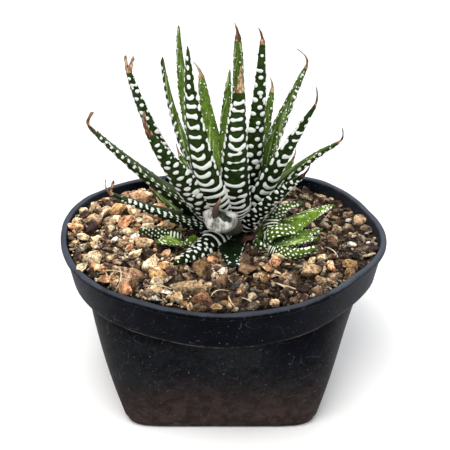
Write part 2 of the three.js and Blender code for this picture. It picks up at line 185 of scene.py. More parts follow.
# Rosette leaves, innermost first, with the marks of each
LEAVES = {
    "leaf_01": (Form(60, 1, 125, 65, 0.5, 0.5, 6.4, 3.4, 2.6, 0, (-1.2, 0, 5)),
                Marks(0.2, (0.4, 0.35), 0.98, 0.75, inner_dots=1.6)),
    "leaf_02": (Form(96, 19.5, 107.5, 63.5, 2.5, 1.5, 7.4, 3.4, 0.9, 0, (0.2, 0, 1.5)),
                Marks(0.2, (0.35, 0.3), inner_dots=0.6)),
    "leaf_03": (Form(-20, 8.5, 125, 64.5, 1, 0.5, 8.4, 4.2, 1.9, -40, (-1.4, 0, 4.4)),
                Marks(0.12, (), 0.985, 0.7, size=0.96, inner_dots=0.6)),
    "leaf_04": (Form(120, 23.5, 106, 64, 2, 0, 8.4, 3.8, 2.4, 0, (-3, 0, 5.4)),
                Marks(0.3, (0.4, 0.2), 0.985, 0.5, 1.0, inner_dots=1.1)),
    "leaf_05": (Form(-88, 22, 116, 62.5, 3.5, -1, 11.6, 5, 3.2, 0, (0.3, 0, 7.5)),
                Marks(0.2, (0.46, 0.36), 0.985, 0.55, pitch=0.92, size=1.12)),
    "leaf_06": (Form(-127, 24, 127, 62, 8, 2.5, 11.4, 5.2, 0.9, 22, (-0.3, 0, 1.5)),
                Marks(0.36, (0.46, 0.26), depth=0.75)),
    "leaf_07": (Form(126, 33, 121, 62.5, 6.5, 1.5, 8.8, 4, 0.9, 0, (-0.2, 0, 1.2)),
                Marks(0.2, fresh=0.7)),
    "leaf_08": (Form(15, 23.5, 114, 62, -1, 0, 9.4, 4.2, 1.2, 18, (-3.4, 0, 6)),
                Marks(0.25, (), 0.99, 0.6, 0.25, size=0.84, inner_dots=2.2, sparse=True)),
    "leaf_09": (Form(55, 22, 102, 62, 2, 0, 7.2, 3.4, 1.8, 0, (-1, 0, 4.6)),
                Marks(0.1, (), 0.98, 0.25, size=0.85, inner_dots=1.0)),
    "leaf_10": (Form(157, 26, 115, 61, 3.5, 1.5, 7, 3.6, 0.9, 0, (-0.2, 0, 1.2)),
                Marks(0.2, (0.3, 0.25), front_rows=1)),
    "leaf_11": (Form(-30, 27.5, 107.5, 61, -0.5, 0, 10.6, 4.8, 1.3, -28, (0.3, 0, 6.8)),
                Marks(0.2, (0.42, 0.3), 0.985, 0.9, depth=0.35)),
    "leaf_12": (Form(-158, 35.5, 119.5, 60, 4, -0.5, 11.4, 5, 3, 16, (-0.5, 0, 4.4),
                     thread_width=0.7), Marks(0.12, (), 0.985, 0.5, size=0.88)),
    "leaf_13": (Form(-136, 36.8, 103.8, 60, 1.6, 0, 13.4, 5.4, 2.2, 34, (-1, 0, 6.8),
                     thread_width=0.9), Marks(0.22, (), 0.98, 0.7, size=0.95)),
    "leaf_14": (Form(-8, 33.5, 92, 59.5, -3, 0.5, 9.4, 4.8, 1.1, 0, (1, 0, 5.2)),
                Marks(0.22, (), 0.99, 0.65, 0.2, size=0.84, sparse=True)),
    "leaf_15": (Form(88, 34, 80, 60, 2, 0, 10, 4.4, 1.2, 0, (0, 1, 4)),
                Marks(0.35, (), 0.98)),
    "leaf_16": (Form(-172, 47, 97.7, 59.4, 1.6, 0, 12, 5.8, 2.4, 2, (1.2, 0, 5.4),
                     thread_width=1.0), Marks(0.1, (), 0.99, 0.7, 0.0, size=0.92, inner_dots=0.9,
                                              sparse=True, front_rows=1)),
    "leaf_17": (Form(-38, 27, 86, 58.5, -1, 0, 9.4, 4.8, 1.6, -20, (2.2, 0, 4.2)),
                Marks(0.14, (), 0.97, 1.0, size=0.64, depth=0.05)),
    "leaf_19": (Form(-160, 43, 78.5, 58.5, 1, 0, 10.6, 5, 1.4, 0, (-1.4, 0, 5)),
                Marks(0.22, (), 0.985, 0.5, -0.3, size=0.84, depth=0.1, sparse=True,
                      front_rows=2)),
    "leaf_20": (Form(52, 35, 72, 58.5, 2.5, 0, 10, 4.4, 1.2, 0, (1, 1, 3.5)),
                Marks(0.35, (), 0.98)),
    "leaf_21": (Form(124, 37, 73, 58.5, 3, 0, 10.4, 4.4, 1.2, 0, (-1, 1, 3.5)),
                Marks(0.35, (), 0.98)),
    "leaf_22": (Form(-124, 35.5, 60.2, 58.4, 1, -0.5, 9.6, 3.8, 1, 165, (-0.4, -0.4, 0.4)),
                Marks(0.35, (), pitch=0.85, size=0.72, depth=0.0)),
    "leaf_23": (Form(-92, 29.5, 60, 57.8, 0.5, -1.2, 9.8, 3.8, 3.6, 0, (0.4, -1, 0.2)),
                Marks(0.1, (), fresh=-0.5, size=0.8, depth=0.0, inner_dots=2, tipped=0.66)),
    "leaf_24": (Form(160, 31, 67, 58, 2, 0, 9.6, 4.2, 1.2, 0, (-1, 0, 3)),
                Marks(0.35, (), 0.98)),
}
# Second ends of the dried tips that have split
FORKS = {
    "leaf_12": Form(-10, 1.1, 122.8, 117.4, -0.4, 0, 2.0, 1.4, 0.7, 0, (0.2, 0, 1.0),
                    foot=(-27.6, -9.2, 0), root_radius=0),
    "leaf_19": Form(0, 0.9, 82.4, 78, -0.3, 0, 1.0, 0.8, 0.3, 0, (0.6, 0, 0.8),
                    foot=(-35.6, -10.7, 0), root_radius=0),
}
# The faded leaf, the spine at its end, the way its slit is pressed in, and the spur beside it
FADED_LEAF = Form(-103, 23.5, 75, 59.5, 0, 0, 8.6, 4.4, 10.8, 0, (0, -1.6, 1),
                  tip_thickness=7.2, thread_width=0.2, keel=0.9)
FADED_SPINE = Form(15, 1.9, 80.0, 73.9, -0.5, 0, 3.2, 2.2, 0.7, 0, (0.4, 0, 1.3),
                   foot=(-2.4, -20.2, 0), root_radius=0)
FADED_SLIT_WAY = np.array([0.15, 0.75, -0.55])
FADED_SPUR = np.array([4.6, -0.6, -0.2])

# Offsets: where each stands, and its leaves, the last number being how fresh each one is
OFFSETS = {
    "offset_right": ((16, -4, 0), (
        (150, 4.5, 62.5, 57, 0.5, 0, 6.6, 3, 0.8, 0, -0.2),
        (36, 14.5, 66.4, 58, -3, 2, 8.6, 3.6, 0.8, 165, 0.6),
        (20, 24, 66.4, 57.5, -1, 0, 8.8, 3.2, 0.8, 20, 1),
        (-6, 18, 62.6, 57, 0.5, 0, 8, 3.4, 0.8, 10, 0.3),
        (-23, 17.3, 62, 57, 0.5, 0, 8.6, 3.6, 0.8, 0, 0.9),
        (-33, 18.5, 60.6, 56, 1, -4.2, 9.4, 4.4, 0.8, -60, 0.9),
        (-20, 9.5, 62.8, 57, -2.4, -1, 9.4, 4, 2.6, -170, 1),
        (-128, 6, 60, 56.6, 1, 0, 8, 3.6, 1.6, 0, -0.2),
        (88, 8, 60.5, 57, 0.5, 0, 6.6, 3, 0.8, 0, 0.5),
    )),
    "offset_left": ((-11.5, -3, 0), (
        (-170, 5.5, 60, 57, 0.5, 0, 5.6, 2.8, 0.8, 0, 0.8),
        (-142, 12, 60, 57.2, -0.5, 0, 9.6, 3.2, 0.8, -10, 1),
        (173, 16.5, 59.6, 57.4, 0, 0, 9.6, 4.2, 2.4, 60, -0.2),
        (-70, 6, 61.4, 57, 1, 0, 7.4, 4, 2.4, 0, 0.9),
        (-176, 7.5, 60.8, 57.5, 0.5, 0, 7.4, 3, 0.8, -20, 0.9),
    )),
}


def smooth(value):
    """An ease from 0 to 1, flat outside that range."""
    value = np.clip(value, 0, 1)
    return value * value * (3 - 2 * value)


def mixed(first, second, share):
    """A value some share of the way from one to another."""
    return first + (second - first) * share


def unit(vectors):
    """Vectors, in rows, each brought to a length of 1."""
    return vectors / np.linalg.norm(vectors, axis=-1, keepdims=True)


def coordinates(mesh):
    """A mesh's vertices as an array of rows."""
    flat = np.empty(3 * len(mesh.vertices))
    mesh.vertices.foreach_get("co", flat)
    return flat.reshape(-1, 3)


def place_vertices(mesh, points):
    """Writes the vertices' places, given in millimetres."""
    mesh.vertices.foreach_set("co", (points * MM).ravel())
    mesh.update()


def store(mesh, name, values):
    """Keeps a number or a vector for each vertex, or one number for all of them."""
    if np.ndim(values) == 0:
        values = np.full(len(mesh.vertices), float(values))
    kind, key = ("FLOAT_VECTOR", "vector") if values.ndim == 2 else ("FLOAT", "value")
    layer = mesh.attributes.new(name, kind, "POINT")
    layer.data.foreach_set(key, values.ravel())


def written(bm, mesh):
    """The mesh, or a new one of that name, with what a bmesh holds."""
    if isinstance(mesh, str):
        mesh = bpy.data.meshes.new(mesh)
    bm.to_mesh(mesh)
    bm.free()
    return mesh


def closed(mesh):
    """Merges a mesh's doubles and turns its faces outward."""
    bm = bmesh.new()
    bm.from_mesh(mesh)
    bmesh.ops.remove_doubles(bm, verts=bm.verts, dist=1e-6)
    bmesh.ops.dissolve_degenerate(bm, edges=bm.edges, dist=1e-8)
    bmesh.ops.recalc_face_normals(bm, faces=bm.faces)
    for face in bm.faces:
        face.smooth = True
    return written(bm, mesh)


def joined(name, meshes):
    """One mesh of several."""
    bm = bmesh.new()
    for mesh in meshes:
        bm.from_mesh(mesh)
    return written(bm, name)


def linked(name, data):
    """A new object in the scene."""
    thing = bpy.data.objects.new(name, data)
    bpy.context.scene.collection.objects.link(thing)
    return thing


def add_piece(name, mesh, material, nodes=()):
    """Puts a finished piece on the object, in place of the solid nodes that it stands for."""
    mesh.materials.clear()
    mesh.materials.append(material)
    piece = linked(name, mesh)
    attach(piece, "root")
    if nodes:
        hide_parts(*nodes)


def opaque(colour):
    """A plain colour with its alpha, or a value as it is."""
    return colour if isinstance(colour, Value) else (*colour, 1)


class Value:
    """A socket in a material: Python's operators add Math nodes to it, and its methods others."""

    def __init__(self, surface, socket):
        self.surface = surface
        self.socket = socket

    def math(self, operation, first, second=0.0):
        return self.surface.node("ShaderNodeMath", {"operation": operation}, {0: first, 1: second})

    def __add__(self, other):
        return self.math("ADD", self, other)

    def __sub__(self, other):
        return self.math("SUBTRACT", self, other)

    def __mul__(self, other):
        return self.math("MULTIPLY", self, other)

    def __radd__(self, other):
        return self.math("ADD", other, self)

    def __rsub__(self, other):
        return self.math("SUBTRACT", other, self)

    def __rmul__(self, other):
        return self.math("MULTIPLY", other, self)

    def __abs__(self):
        return self.math("ABSOLUTE", self)

    def step(self, low, high):
        """0 below low and 1 above high, with an ease between."""
        inputs = {"Value": self, "From Min": low, "From Max": high}
        return self.surface.node("ShaderNodeMapRange", {"interpolation_type": "SMOOTHSTEP"}, inputs)

    def ramp(self, stops, interpolation="LINEAR"):
        settings = {"stops": stops, "interpolation": interpolation}
        return self.surface.node("ShaderNodeValToRGB", settings, {0: self})

    def parts(self):
        """The three parts of a vector."""
        return [self.surface.node("ShaderNodeSeparateXYZ", None, {0: self}, i) for i in range(3)]

    def stretched(self, scale):
        return self.surface.node("ShaderNodeMapping", None, {"Vector": self, "Scale": scale})

    def noise(self, scale, detail, roughness):
        inputs = {"Vector": self, "Scale": scale, "Detail": detail, "Roughness": roughness}
        return self.surface.node("ShaderNodeTexNoise", None, inputs)

    def cells(self, scale):
        return self.surface.node("ShaderNodeTexVoronoi", None, {"Vector": self, "Scale": scale})

    def bump(self, distance, strength=1.0):
        inputs = {"Height": self, "Distance": distance, "Strength": strength}
        return self.surface.node("ShaderNodeBump", None, inputs)


class Surface:
    """A material being built, with one method that adds any node."""

    def __init__(self, name):
        self.material = bpy.data.materials.new(name)
        self.material.use_nodes = True
        self.tree = self.material.node_tree
        self.tree.nodes.clear()

    def node(self, kind, settings=None, inputs=None, output=0):
        made = self.tree.nodes.new(kind)
        for key, value in (settings or {}).items():
            if key == "stops":
                self.set_stops(made.color_ramp, value)
            elif key == "interpolation":
                made.color_ramp.interpolation = value
            else:
                setattr(made, key, value)
        for key, value in (inputs or {}).items():
            if isinstance(value, Value):
                self.tree.links.new(value.socket, made.inputs[key])
            else:
                made.inputs[key].default_value = value
        return Value(self, made.outputs[output]) if made.outputs else None

    @staticmethod
    def set_stops(ramp, stops):
        while len(ramp.elements) < len(stops):
            ramp.elements.new(1)
        for element, (position, colour) in zip(ramp.elements, stops):
            element.position = position
            element.color = opaque(colour)

    def position(self):
        return self.node("ShaderNodeTexCoord", output="Object")

    def attribute(self, name, output="Fac"):
        return self.node("ShaderNodeAttribute", {"attribute_name": name}, output=output)

    def numbers(self, *names):
        """Attributes of one number each."""
        return [self.attribute(name) for name in names]

    def mix(self, share, first, second, blend="MIX"):
        """A colour between two."""
        settings = {"data_type": "RGBA", "blend_type": blend}
        return self.node("ShaderNodeMix", settings, {0: share, 6: opaque(first), 7: opaque(second)}, 2)

    def layered(self, colour, *coats):
        """A colour under coats of others, each with its share."""
        for share, coat in coats:
            colour = self.mix(share, colour, coat)
        return colour

    def shaded(self, colour, value):
        """A colour made lighter or darker by a value."""
        grey = self.node("ShaderNodeCombineColor", None, {0: value, 1: value, 2: value})
        return self.mix(1.0, colour, grey, "MULTIPLY")

    def finish(self, **inputs):
        """Joins the shader's inputs, given with underscores for spaces."""
        inputs = {key.replace("_", " "): value for key, value in inputs.items()}
        shader = self.node("ShaderNodeBsdfPrincipled", None, inputs)
        self.node("ShaderNodeOutputMaterial", None, {"Surface": shader})
        return self.material


def plan_factor(angle, height):
    """The pot's plan at a height, as a factor on its half width: a little out of round at the rim."""
    drop = np.clip(1 - height / BODY_HEIGHT, 0, 1)
    power = mixed(RIM_SQUARENESS, FOOT_SQUARENESS, drop)
    round_part = np.abs(np.cos(angle)) ** power + np.abs(np.sin(angle)) ** power
    squeeze = 0
    for i, (cosine, sine) in enumerate(RIM_WAVES, 1):
        squeeze = squeeze + cosine * np.cos(i * angle) + sine * np.sin(i * angle)
    for centre, spread, depth in RIM_PUSHES:
        offset = angle - math.radians(centre)
        turn = np.arctan2(np.sin(offset), np.cos(offset))
        squeeze = squeeze + depth * np.exp(-0.5 * (turn / math.radians(spread)) ** 2)
    return (1 + (1 - drop) * squeeze) / round_part ** (1 / power)


def body_half(height):
    return mixed(BASE_HALF, BODY_TOP_HALF, height / BODY_HEIGHT)


def body_rows(inset, foot, top, count):
    """Points up the pot's body, inset from its outside."""
    return [(body_half(height) - inset, height) for height in np.linspace(foot, top, count)]


def arc(centre, radius, start, end, count):
    """Points on part of a circle in a profile, angles in degrees."""
    angles = np.radians(np.linspace(start, end, count))
    return [(centre[0] + radius * math.cos(a), centre[1] + radius * math.sin(a)) for a in angles]


def straight(start, end, count):
    """Points on a straight line in a profile."""
    shares = np.linspace(0, 1, count)
    return [(mixed(start[0], end[0], t), mixed(start[1], end[1], t)) for t in shares]


def turned(name, profile, sides):
    """A profile spun about Z and pressed into the pot's plan."""
    bm = bmesh.new()
    points = [bm.verts.new((radius, 0, height)) for radius, height in profile]
    edges = [bm.edges.new(pair) for pair in zip(points, points[1:])]
    bmesh.ops.spin(bm, geom=points + edges, cent=(0, 0, 0), axis=(0, 0, 1), angle=math.tau,
                   steps=sides, use_merge=True)
    mesh = written(bm, name)
    corners = coordinates(mesh)
    angle = np.arctan2(corners[:, 1], corners[:, 0])
    reach = np.hypot(corners[:, 0], corners[:, 1]) * plan_factor(angle, corners[:, 2])
    corners[:, 0] = reach * np.cos(angle)
    corners[:, 1] = reach * np.sin(angle)
    return mesh, corners


def soil_top(x, y):
    """Height of the soil's surface."""
    from_crown = np.hypot(x - CROWN[0], y - CROWN[1])
    dip = CROWN_DIP * (1 - smooth(from_crown / CROWN_DIP_RADIUS))
    return SOIL_HEIGHT - SOIL_FALL_BACK * y - SOIL_FALL_RIGHT * x - dip


def bezier(first, middle, last, count):
    """Points and directions along a curve of three points."""
    t = np.linspace(0, 1, count)[:, None]
    points = (1 - t) ** 2 * first + 2 * t * (1 - t) * middle + t ** 2 * last
    return points, unit((1 - t) * (middle - first) + t * (last - middle))


class Route:
    """A leaf's centre line, from its root to the end of its thread."""

    def __init__(self, form):
        angle = math.radians(form.azimuth)
        outward = np.array([math.cos(angle), math.sin(angle), 0])
        self.side = np.array([-math.sin(angle), math.cos(angle), 0])
        self.roll = math.radians(form.roll)
        foot = np.array(form.foot, float)
        root = foot + outward * form.root_radius
        tip = foot + outward * form.reach
        root[2], tip[2] = form.root_height, form.tip_height
        under = np.cross(self.side, unit(tip - root))
        middle = (root + tip) / 2 + under * 2 * form.bow + self.side * 2 * form.sway
        thread = np.array(form.thread, float)
        bend = tip + unit(tip - middle) * np.linalg.norm(thread) / 2
        blade, blade_way = bezier(root, middle, tip, ROUTE_SAMPLES)
        dried, dried_way = bezier(tip, bend, tip + thread, ROUTE_SAMPLES)
        self.points = np.vstack([blade, dried[1:]])
        self.ways = np.vstack([blade_way, dried_way[1:]])
        steps = np.linalg.norm(np.diff(self.points, axis=0), axis=1)
        self.lengths = np.concatenate([[0], np.cumsum(steps)])
        self.blade = self.lengths[ROUTE_SAMPLES - 1]
        self.total = self.lengths[-1]

    def at(self, distance):
        """Points, and the directions across and under the leaf, at distances from the root."""
        def along(table):
            return np.stack([np.interp(distance, self.lengths, table[:, i]) for i in range(3)], 1)
        way = unit(along(self.ways))
        cosine, sine = math.cos(self.roll), math.sin(self.roll)
        lean = (way @ self.side)[:, None]
        across = self.side * cosine + np.cross(way, self.side) * sine + way * lean * (1 - cosine)
        return along(self.points), across, unit(np.cross(across, way))


def girth(form, route, distance):
    """Half width and thickness of a leaf at distances from its root."""
    share = np.clip(distance / route.blade, 0, 1)
    narrowing = mixed(ROOT_NARROWING, 1, smooth(share / BELLY_AT))
    half = mixed(form.width, form.tip_width, share ** WIDTH_TAPER) / 2 * narrowing
    thick = mixed(form.thickness, form.tip_thickness, share ** THICKNESS_TAPER) * narrowing
    dried = np.clip((distance - route.blade) / (route.total - route.blade), 0, 1) ** 0.55
    half = mixed(half, form.thread_width / 2, dried)
    return half, mixed(thick, form.thread_width, dried)


def outer_span(half, thick):
    """Length over the outer face from the keel to a margin."""
    return 1.03 * np.sqrt(half ** 2 + (KEEL_SHARE * thick) ** 2)


def round_leaf(turn, span, half):
    """Distance round the leaf from its keel, over the margin at a turn of 1 or -1."""
    past = np.sign(turn) * (span + (np.abs(turn) - 1) * half)
    return np.where(np.abs(turn) <= 1, turn * span, past)


def section(form, turn, half, thick):
    """How far across and under the leaf's middle its skin is at a turn, and its facing there."""
    outer = np.abs(turn) <= 1
    angle = np.where(outer, turn, 2 - np.abs(turn)) * math.pi / 2
    sine, cosine = np.sin(angle), np.clip(np.cos(angle), 0, 1)
    sideways = np.where(outer, sine, np.sign(turn) * sine) * half
    bulge = np.where(outer, KEEL_SHARE * cosine ** form.keel, -INNER_SHARE * cosine ** 1.2) * thick
    depth = np.where(outer, KEEL_SHARE, INNER_SHARE) * thick
    return sideways, bulge, sideways / half ** 2, bulge / depth ** 2


class Row:
    """A row of marks across a leaf: where it is, and the sizes that fit there."""

    def __init__(self, form, route, marks, distance, odd):
        self.distance = distance
        self.odd = odd
        self.share = distance / route.blade
        self.lined = self.share < marks.banded_to
        self.half, thick = girth(form, route, distance)
        self.span = outer_span(self.half, thick)
        # Marks grow with the distance from the root, and shrink where the leaf is narrow
        self.grown = smooth(self.share / 0.5)
        self.narrow = mixed(0.75, 1, smooth(self.span / 5))
        self.pitch = mixed(2.2, 3.4, self.grown) * marks.pitch * self.narrow
        self.tall = 0.275 * self.pitch * mixed(1, marks.size, 0.5)


def stroke_marks(distance, centre, reach, span, tall, slant, draw):
    """A white stroke across the leaf: overlapping marks, thicker toward both ends, some broken.

    A reach is a share of the outer face's half, and a slant is in millimetres.
    """
    count = round(2 * reach * span / STROKE_RADIUS)
    if count < 3:
        return [(distance, centre, tall * 1.3, max(STROKE_RADIUS, 1.15 * reach * span), 1.0)]
    found = []
    droop = draw.uniform(-1.1, 0.1) * tall
    wave, phase = draw.uniform(0.05, 0.45) * tall, draw.uniform(0, math.tau)
    broken = draw.uniform(-0.8, 0.8) if draw.random() < 0.2 else 5
    for out in np.linspace(-1, 1, count):
        if count > 6 and abs(out - broken) < 1.2 / count:
            continue
        shift = slant * out * reach + droop * (1 - out ** 2) + wave * math.sin(phase + 4.5 * out)
        thick = tall * (0.76 + 0.55 * out ** 2) * draw.uniform(0.82, 1.18)
        found.append((distance + shift, centre + out * reach, thick, STROKE_RADIUS, 0.72))
    return found


def knob_marks(distance, centre, reach, span, tall, draw):
    """A short stroke of a leaf's upper part: two knobs, bridged or apart."""
    apart = reach * draw.uniform(0.8, 1.1)
    tilt = draw.uniform(-0.45, 0.45) * tall
    found = []
    for side in (-1, 1):
        radius = min(draw.uniform(0.6, 0.8), 0.22 * span)
        place = centre + side * apart * 0.85
        found.append((distance + side * tilt, place, tall * draw.uniform(0.7, 1.0), radius, 1.0))
    if draw.random() < 0.6:
        found.append((distance, centre, 0.5 * tall, max(0.4, 0.5 * apart * span), 0.75))
    return found


def dot_marks(distance, span, size, odd, sparse, draw, last):
    """A row of separate round marks over the outer face, with a few small ones between."""
    spacing = 2.75 * size + 0.25
    count = max(1, round(1.6 * span / spacing))
    turns = (np.arange(count) - (count - 1) / 2) * spacing / span
    turns += (0.25 if odd else -0.25) * spacing / span
    if sparse:
        turns = (-0.5, 0.5) if odd else (-0.84, 0, 0.84)
    found = []
    for turn in turns:
        radius = min(size * draw.uniform(0.8, 1.12), 0.3 * span) * (0.8 if sparse else 1)
        shift = draw.uniform(-0.1, 0.1) * spacing
        place = turn + draw.uniform(-0.08, 0.08) * spacing / span
        if abs(place) < last:
            found.append((distance + shift, place, radius, radius * draw.uniform(0.88, 1.18), 1.0))
        if draw.random() < 0.2:
            between = place + 0.5 * spacing / span
            if abs(between) < 0.8:
                found.append((distance + shift + 0.4 * spacing, between, 0.36, 0.36, 1.0))
    return found


def outer_marks(row, marks, draw):
    """A row's marks over the outer face: a band, a shorter stroke, knobs or dots."""
    slant = draw.uniform(-0.4, 0.4)
    if row.lined:
        reach = mixed(0.82, 0.7, smooth(row.share / marks.banded_to))
        return stroke_marks(row.distance, 0, reach, row.span, row.tall, slant, draw)
    above = np.clip((row.share - marks.banded_to) / (1 - marks.banded_to), 0, 1)
    if marks.strokes:
        reach = mixed(*marks.strokes, above) * draw.uniform(0.85, 1.15)
        centre = draw.uniform(-0.07, 0.07)
        if row.span < 2.3:
            return [(row.distance, centre, 0.85, min(0.6, 0.3 * row.span), 1.0)]
        if draw.random() < 0.03 + 0.85 * above:
            return knob_marks(row.distance, centre, reach, row.span, row.tall, draw)
        return stroke_marks(row.distance, centre, reach, row.span, row.tall, slant, draw)
    dot = marks.size * row.narrow * mixed(0.76, 1, row.grown)
    row.pitch = min(row.pitch, (2.45 if marks.sparse else 2.55) * dot + 0.25)
    last = 0.6 if marks.front_rows else 0.88
    return dot_marks(row.distance, row.span, dot, row.odd, marks.sparse, draw, last)


def margin_marks(row, marks, side, fronted, draw):
    """A row's marks on one margin, and the small dots on the inner face beside it."""
    found = []
    shift = draw.uniform(0.3, 0.6) * row.pitch if row.share > 0.5 * marks.banded_to else 0
    size = draw.uniform(0.85, 1.15)
    place = row.distance - shift
    if row.lined:
        if row.span > 2 and row.share > 0.6 * marks.banded_to:
            found += stroke_marks(place, side * 0.84, 0.1, row.span, 0.8 * row.tall, 0, draw)
    elif marks.strokes:
        found.append((place + 0.15, side * 0.76, 1.1 * row.tall * size, min(0.58, 0.19 * row.span), 1.0))
    elif (row.odd or not marks.sparse) and not fronted and row.span > 3.6:
        margin = 0.97 if marks.tipped == NOWHERE else 1.06
        found.append((place + 0.15, side * margin, 0.66 * row.tall * size, min(0.42, 0.15 * row.span),
                      0.95))
    for _ in range(int(marks.inner_dots + draw.random())):
        small = draw.uniform(0.2, 0.32)
        turn = side * draw.uniform(1.1, 1.8)
        found.append((row.distance + draw.uniform(-1, 1), turn, 1.3 * small, small, 1.0))
    return found


def leaf_marks(form, route, marks, draw):
    """The raised marks: distance from the root, turn round the leaf, two radii and a strength."""
    found = []
    distance = FIRST_ROW
    odd = False
    # The margin toward the front is the one with extra rows of dots
    front = -np.sign(route.at([route.blade / 2])[1][0, 1])
    while distance < route.blade * min(1, marks.dry_from) - 0.5:
        row = Row(form, route, marks, distance, odd)
        found += outer_marks(row, marks, draw)
        for side in (-1, 1):
            fronted = marks.front_rows and side == front and row.share > 0.15
            found += margin_marks(row, marks, side, fronted, draw)
        for line in range(marks.front_rows + 1 if row.share > 0.15 and row.half > 1.5 else 0):
            radius = draw.uniform(0.46, 0.6) * row.narrow
            turn = front * (0.84 + 0.34 * line + (0.17 if odd else 0))
            found.append((distance + draw.uniform(-0.2, 0.2), turn, 1.15 * radius, radius, 1.0))
        odd = not odd
        distance += row.pitch * draw.uniform(0.93, 1.07)
    return found


def mark_field(form, route, distance, girthwise, found):
    """How strongly the marks cover each point of a leaf's skin."""
    field = np.zeros(len(distance))
    for centre, turn, tall, wide, strength in found:
        near = np.abs(distance - centre) < 3 * tall
        half, thick = girth(form, route, centre)
        beside = round_leaf(turn, outer_span(half, thick), half)
        gap = ((distance[near] - centre) / tall) ** 2 + ((girthwise[near] - beside) / wide) ** 2
        field[near] += strength * np.exp(-gap)
    return field


def leaf_mesh(name, form, cell, marks=Marks(), found=(), raised=0):
    """A leaf rolled from a grid along its route, with its marks raised and kept as attributes."""
    route = Route(form)
    belly = girth(form, route, 0.35 * route.blade)
    around = 2 * outer_span(*belly) + 2 * belly[0]
    columns = 2 * max(8, round(0.5 * around / cell))
    blade_rows = round(route.blade / cell)
    thread_rows = max(3, round((route.total - route.blade) / cell))
    bm = bmesh.new()
    bmesh.ops.create_grid(bm, x_segments=blade_rows + thread_rows, y_segments=columns, size=1)
    mesh = written(bm, name)
    corners = coordinates(mesh)
    along = (corners[:, 0] + 1) / 2
    turn = 2 * corners[:, 1]
    blade_share = blade_rows / (blade_rows + thread_rows)
    distance = np.interp(along, [0, blade_share, 1], [0, route.blade, route.total])
    half, thick = girth(form, route, distance)
    points, across, under = route.at(distance)
    # The leaf is rounded off at its root and at the end of its thread
    ends = np.minimum(distance / 1.2, (route.total - distance) / 0.5)
    ends = np.sqrt(np.clip(ends, 0, 1))
    share = distance / route.blade
    # Dried skin is creased and shrunk
    dry = smooth((share - marks.dry_from) / 0.03 + 0.5)
    creases = 1 + 0.22 * np.sin(7 * math.pi * turn + 0.5 * distance) + 0.15 * np.sin(2.3 * distance)
    shrunk = mixed(1, 0.8 * creases, dry)
    half, thick = half * shrunk, thick * shrunk
    sideways, bulge, facing_side, facing_under = section(form, turn, half, thick)
    facing = unit(across * facing_side[:, None] + under * facing_under[:, None] + 1e-9)
    girthwise = round_leaf(turn, outer_span(half, thick), half)
    field = mark_field(form, route, distance, girthwise, found)
    marked = (share > marks.tipped) | (marks.tipped == NOWHERE) | (np.abs(turn) < 1.2)
    field = np.where(marked, field, 0)
    height = raised * smooth((field - 0.15) / 0.7) * (1 - dry) * ends
    points = points + across * (sideways * ends)[:, None] + under * (bulge * ends)[:, None]
    points = points + facing * height[:, None]
    place_vertices(mesh, points)
    inner = smooth((np.abs(turn) - 0.97) / 0.06)
    # The white fades on the very edge of the margin, though the mark there stays raised
    if not marks.sparse:
        field = field * (1 - 0.6 * np.exp(-((np.abs(turn) - 1.0) / 0.07) ** 2))
    store(mesh, "place", np.stack([distance, girthwise, np.full(len(turn), form.azimuth)], 1))
    store(mesh, "look", np.stack([np.minimum(field, 1), dry, inner], 1))
    store(mesh, "share", np.minimum(share, 1.5))
    for name in ("tone", "fresh", "depth"):
        store(mesh, name, getattr(marks, name))
    return closed(mesh)


def leaf_material(name, deep, mid, inner_deep, inner_fresh, white, roughness):
    """Waxy green with raised white marks and painted shade round their feet, a fresher inner face and a
    dried tip.
    """
    surface = Surface(name)
    place = surface.attribute("place", "Vector")
    field, dry, inner = surface.attribute("look", "Vector").parts()
    share, tone, fresh, depth = surface.numbers("share", "tone", "fresh", "depth")
    streaks = place.stretched((0.12, 2.6, 0.1)).noise(1.6, 3.0, 0.6)
    mottle = place.noise(0.5, 3.0, 0.6)
    grain = place.noise(3.5, 2.0, 0.6)
    upward = (share + (mottle - 0.5) * 0.3).step(0.12, 0.7)
    outer_green = surface.mix(upward * (0.35 + 1.3 * depth), deep, mid)
    freshness = share.step(0.05, 0.5) * (0.35 + 0.65 * fresh)
    inner_green = surface.mix(freshness, inner_deep, inner_fresh)
    threads = place.stretched((0.03, 0.8, 0.1)).noise(1.3, 2.0, 0.5)
    lines = threads.step(0.55, 0.61) * freshness
    inner_green = surface.mix(lines * 0.7, inner_green, (0.42, 0.54, 0.22))
    green = surface.mix(inner, outer_green, inner_green)
    # Painted shade: the green is darker round the foot of each raised mark
    mark_foot_shade = 1.0 - 0.45 * field.step(0.03, 0.3)
    cloudy = mottle.step(0.36, 0.64)
    green = surface.shaded(green, (0.4 + 0.6 * streaks + 0.6 * cloudy) * mark_foot_shade)
    mark = (field + (grain - 0.5) * 0.14).step(0.4, 0.56)
    pale = surface.shaded(white, 0.80 + 0.36 * mottle)
    colour = surface.mix(mark, green, pale)
    wither = place.stretched((0.5, 1.5, 0.1)).noise(1.2, 4.0, 0.6)
    shrivel = (dry + (wither - 0.5) * 0.5 * dry).step(0.42, 0.6)
    shade = (tone * 0.8 + (wither - 0.5) * 2.2).step(0.0, 0.9)
    dried = shade.ramp((
        (0.0, (0.66, 0.53, 0.36)), (0.3, (0.46, 0.30, 0.165)), (0.6, (0.17, 0.085, 0.048)),
        (1.0, (0.04, 0.018, 0.012)),
    ))
    past_tip = share.step(1.0, 1.12)
    dried = surface.mix(past_tip * 0.2, dried, (0.42, 0.33, 0.24))
    colour = surface.mix(shrivel, colour, dried)
    rough = roughness + 0.12 * mottle + 0.35 * shrivel
    height = streaks * 0.5 + grain * 0.3 * mark + wither * 2.0 * shrivel
    return surface.finish(Base_Color=colour, Roughness=rough, Normal=height.bump(0.00012),
                          Specular_IOR_Level=0.04)


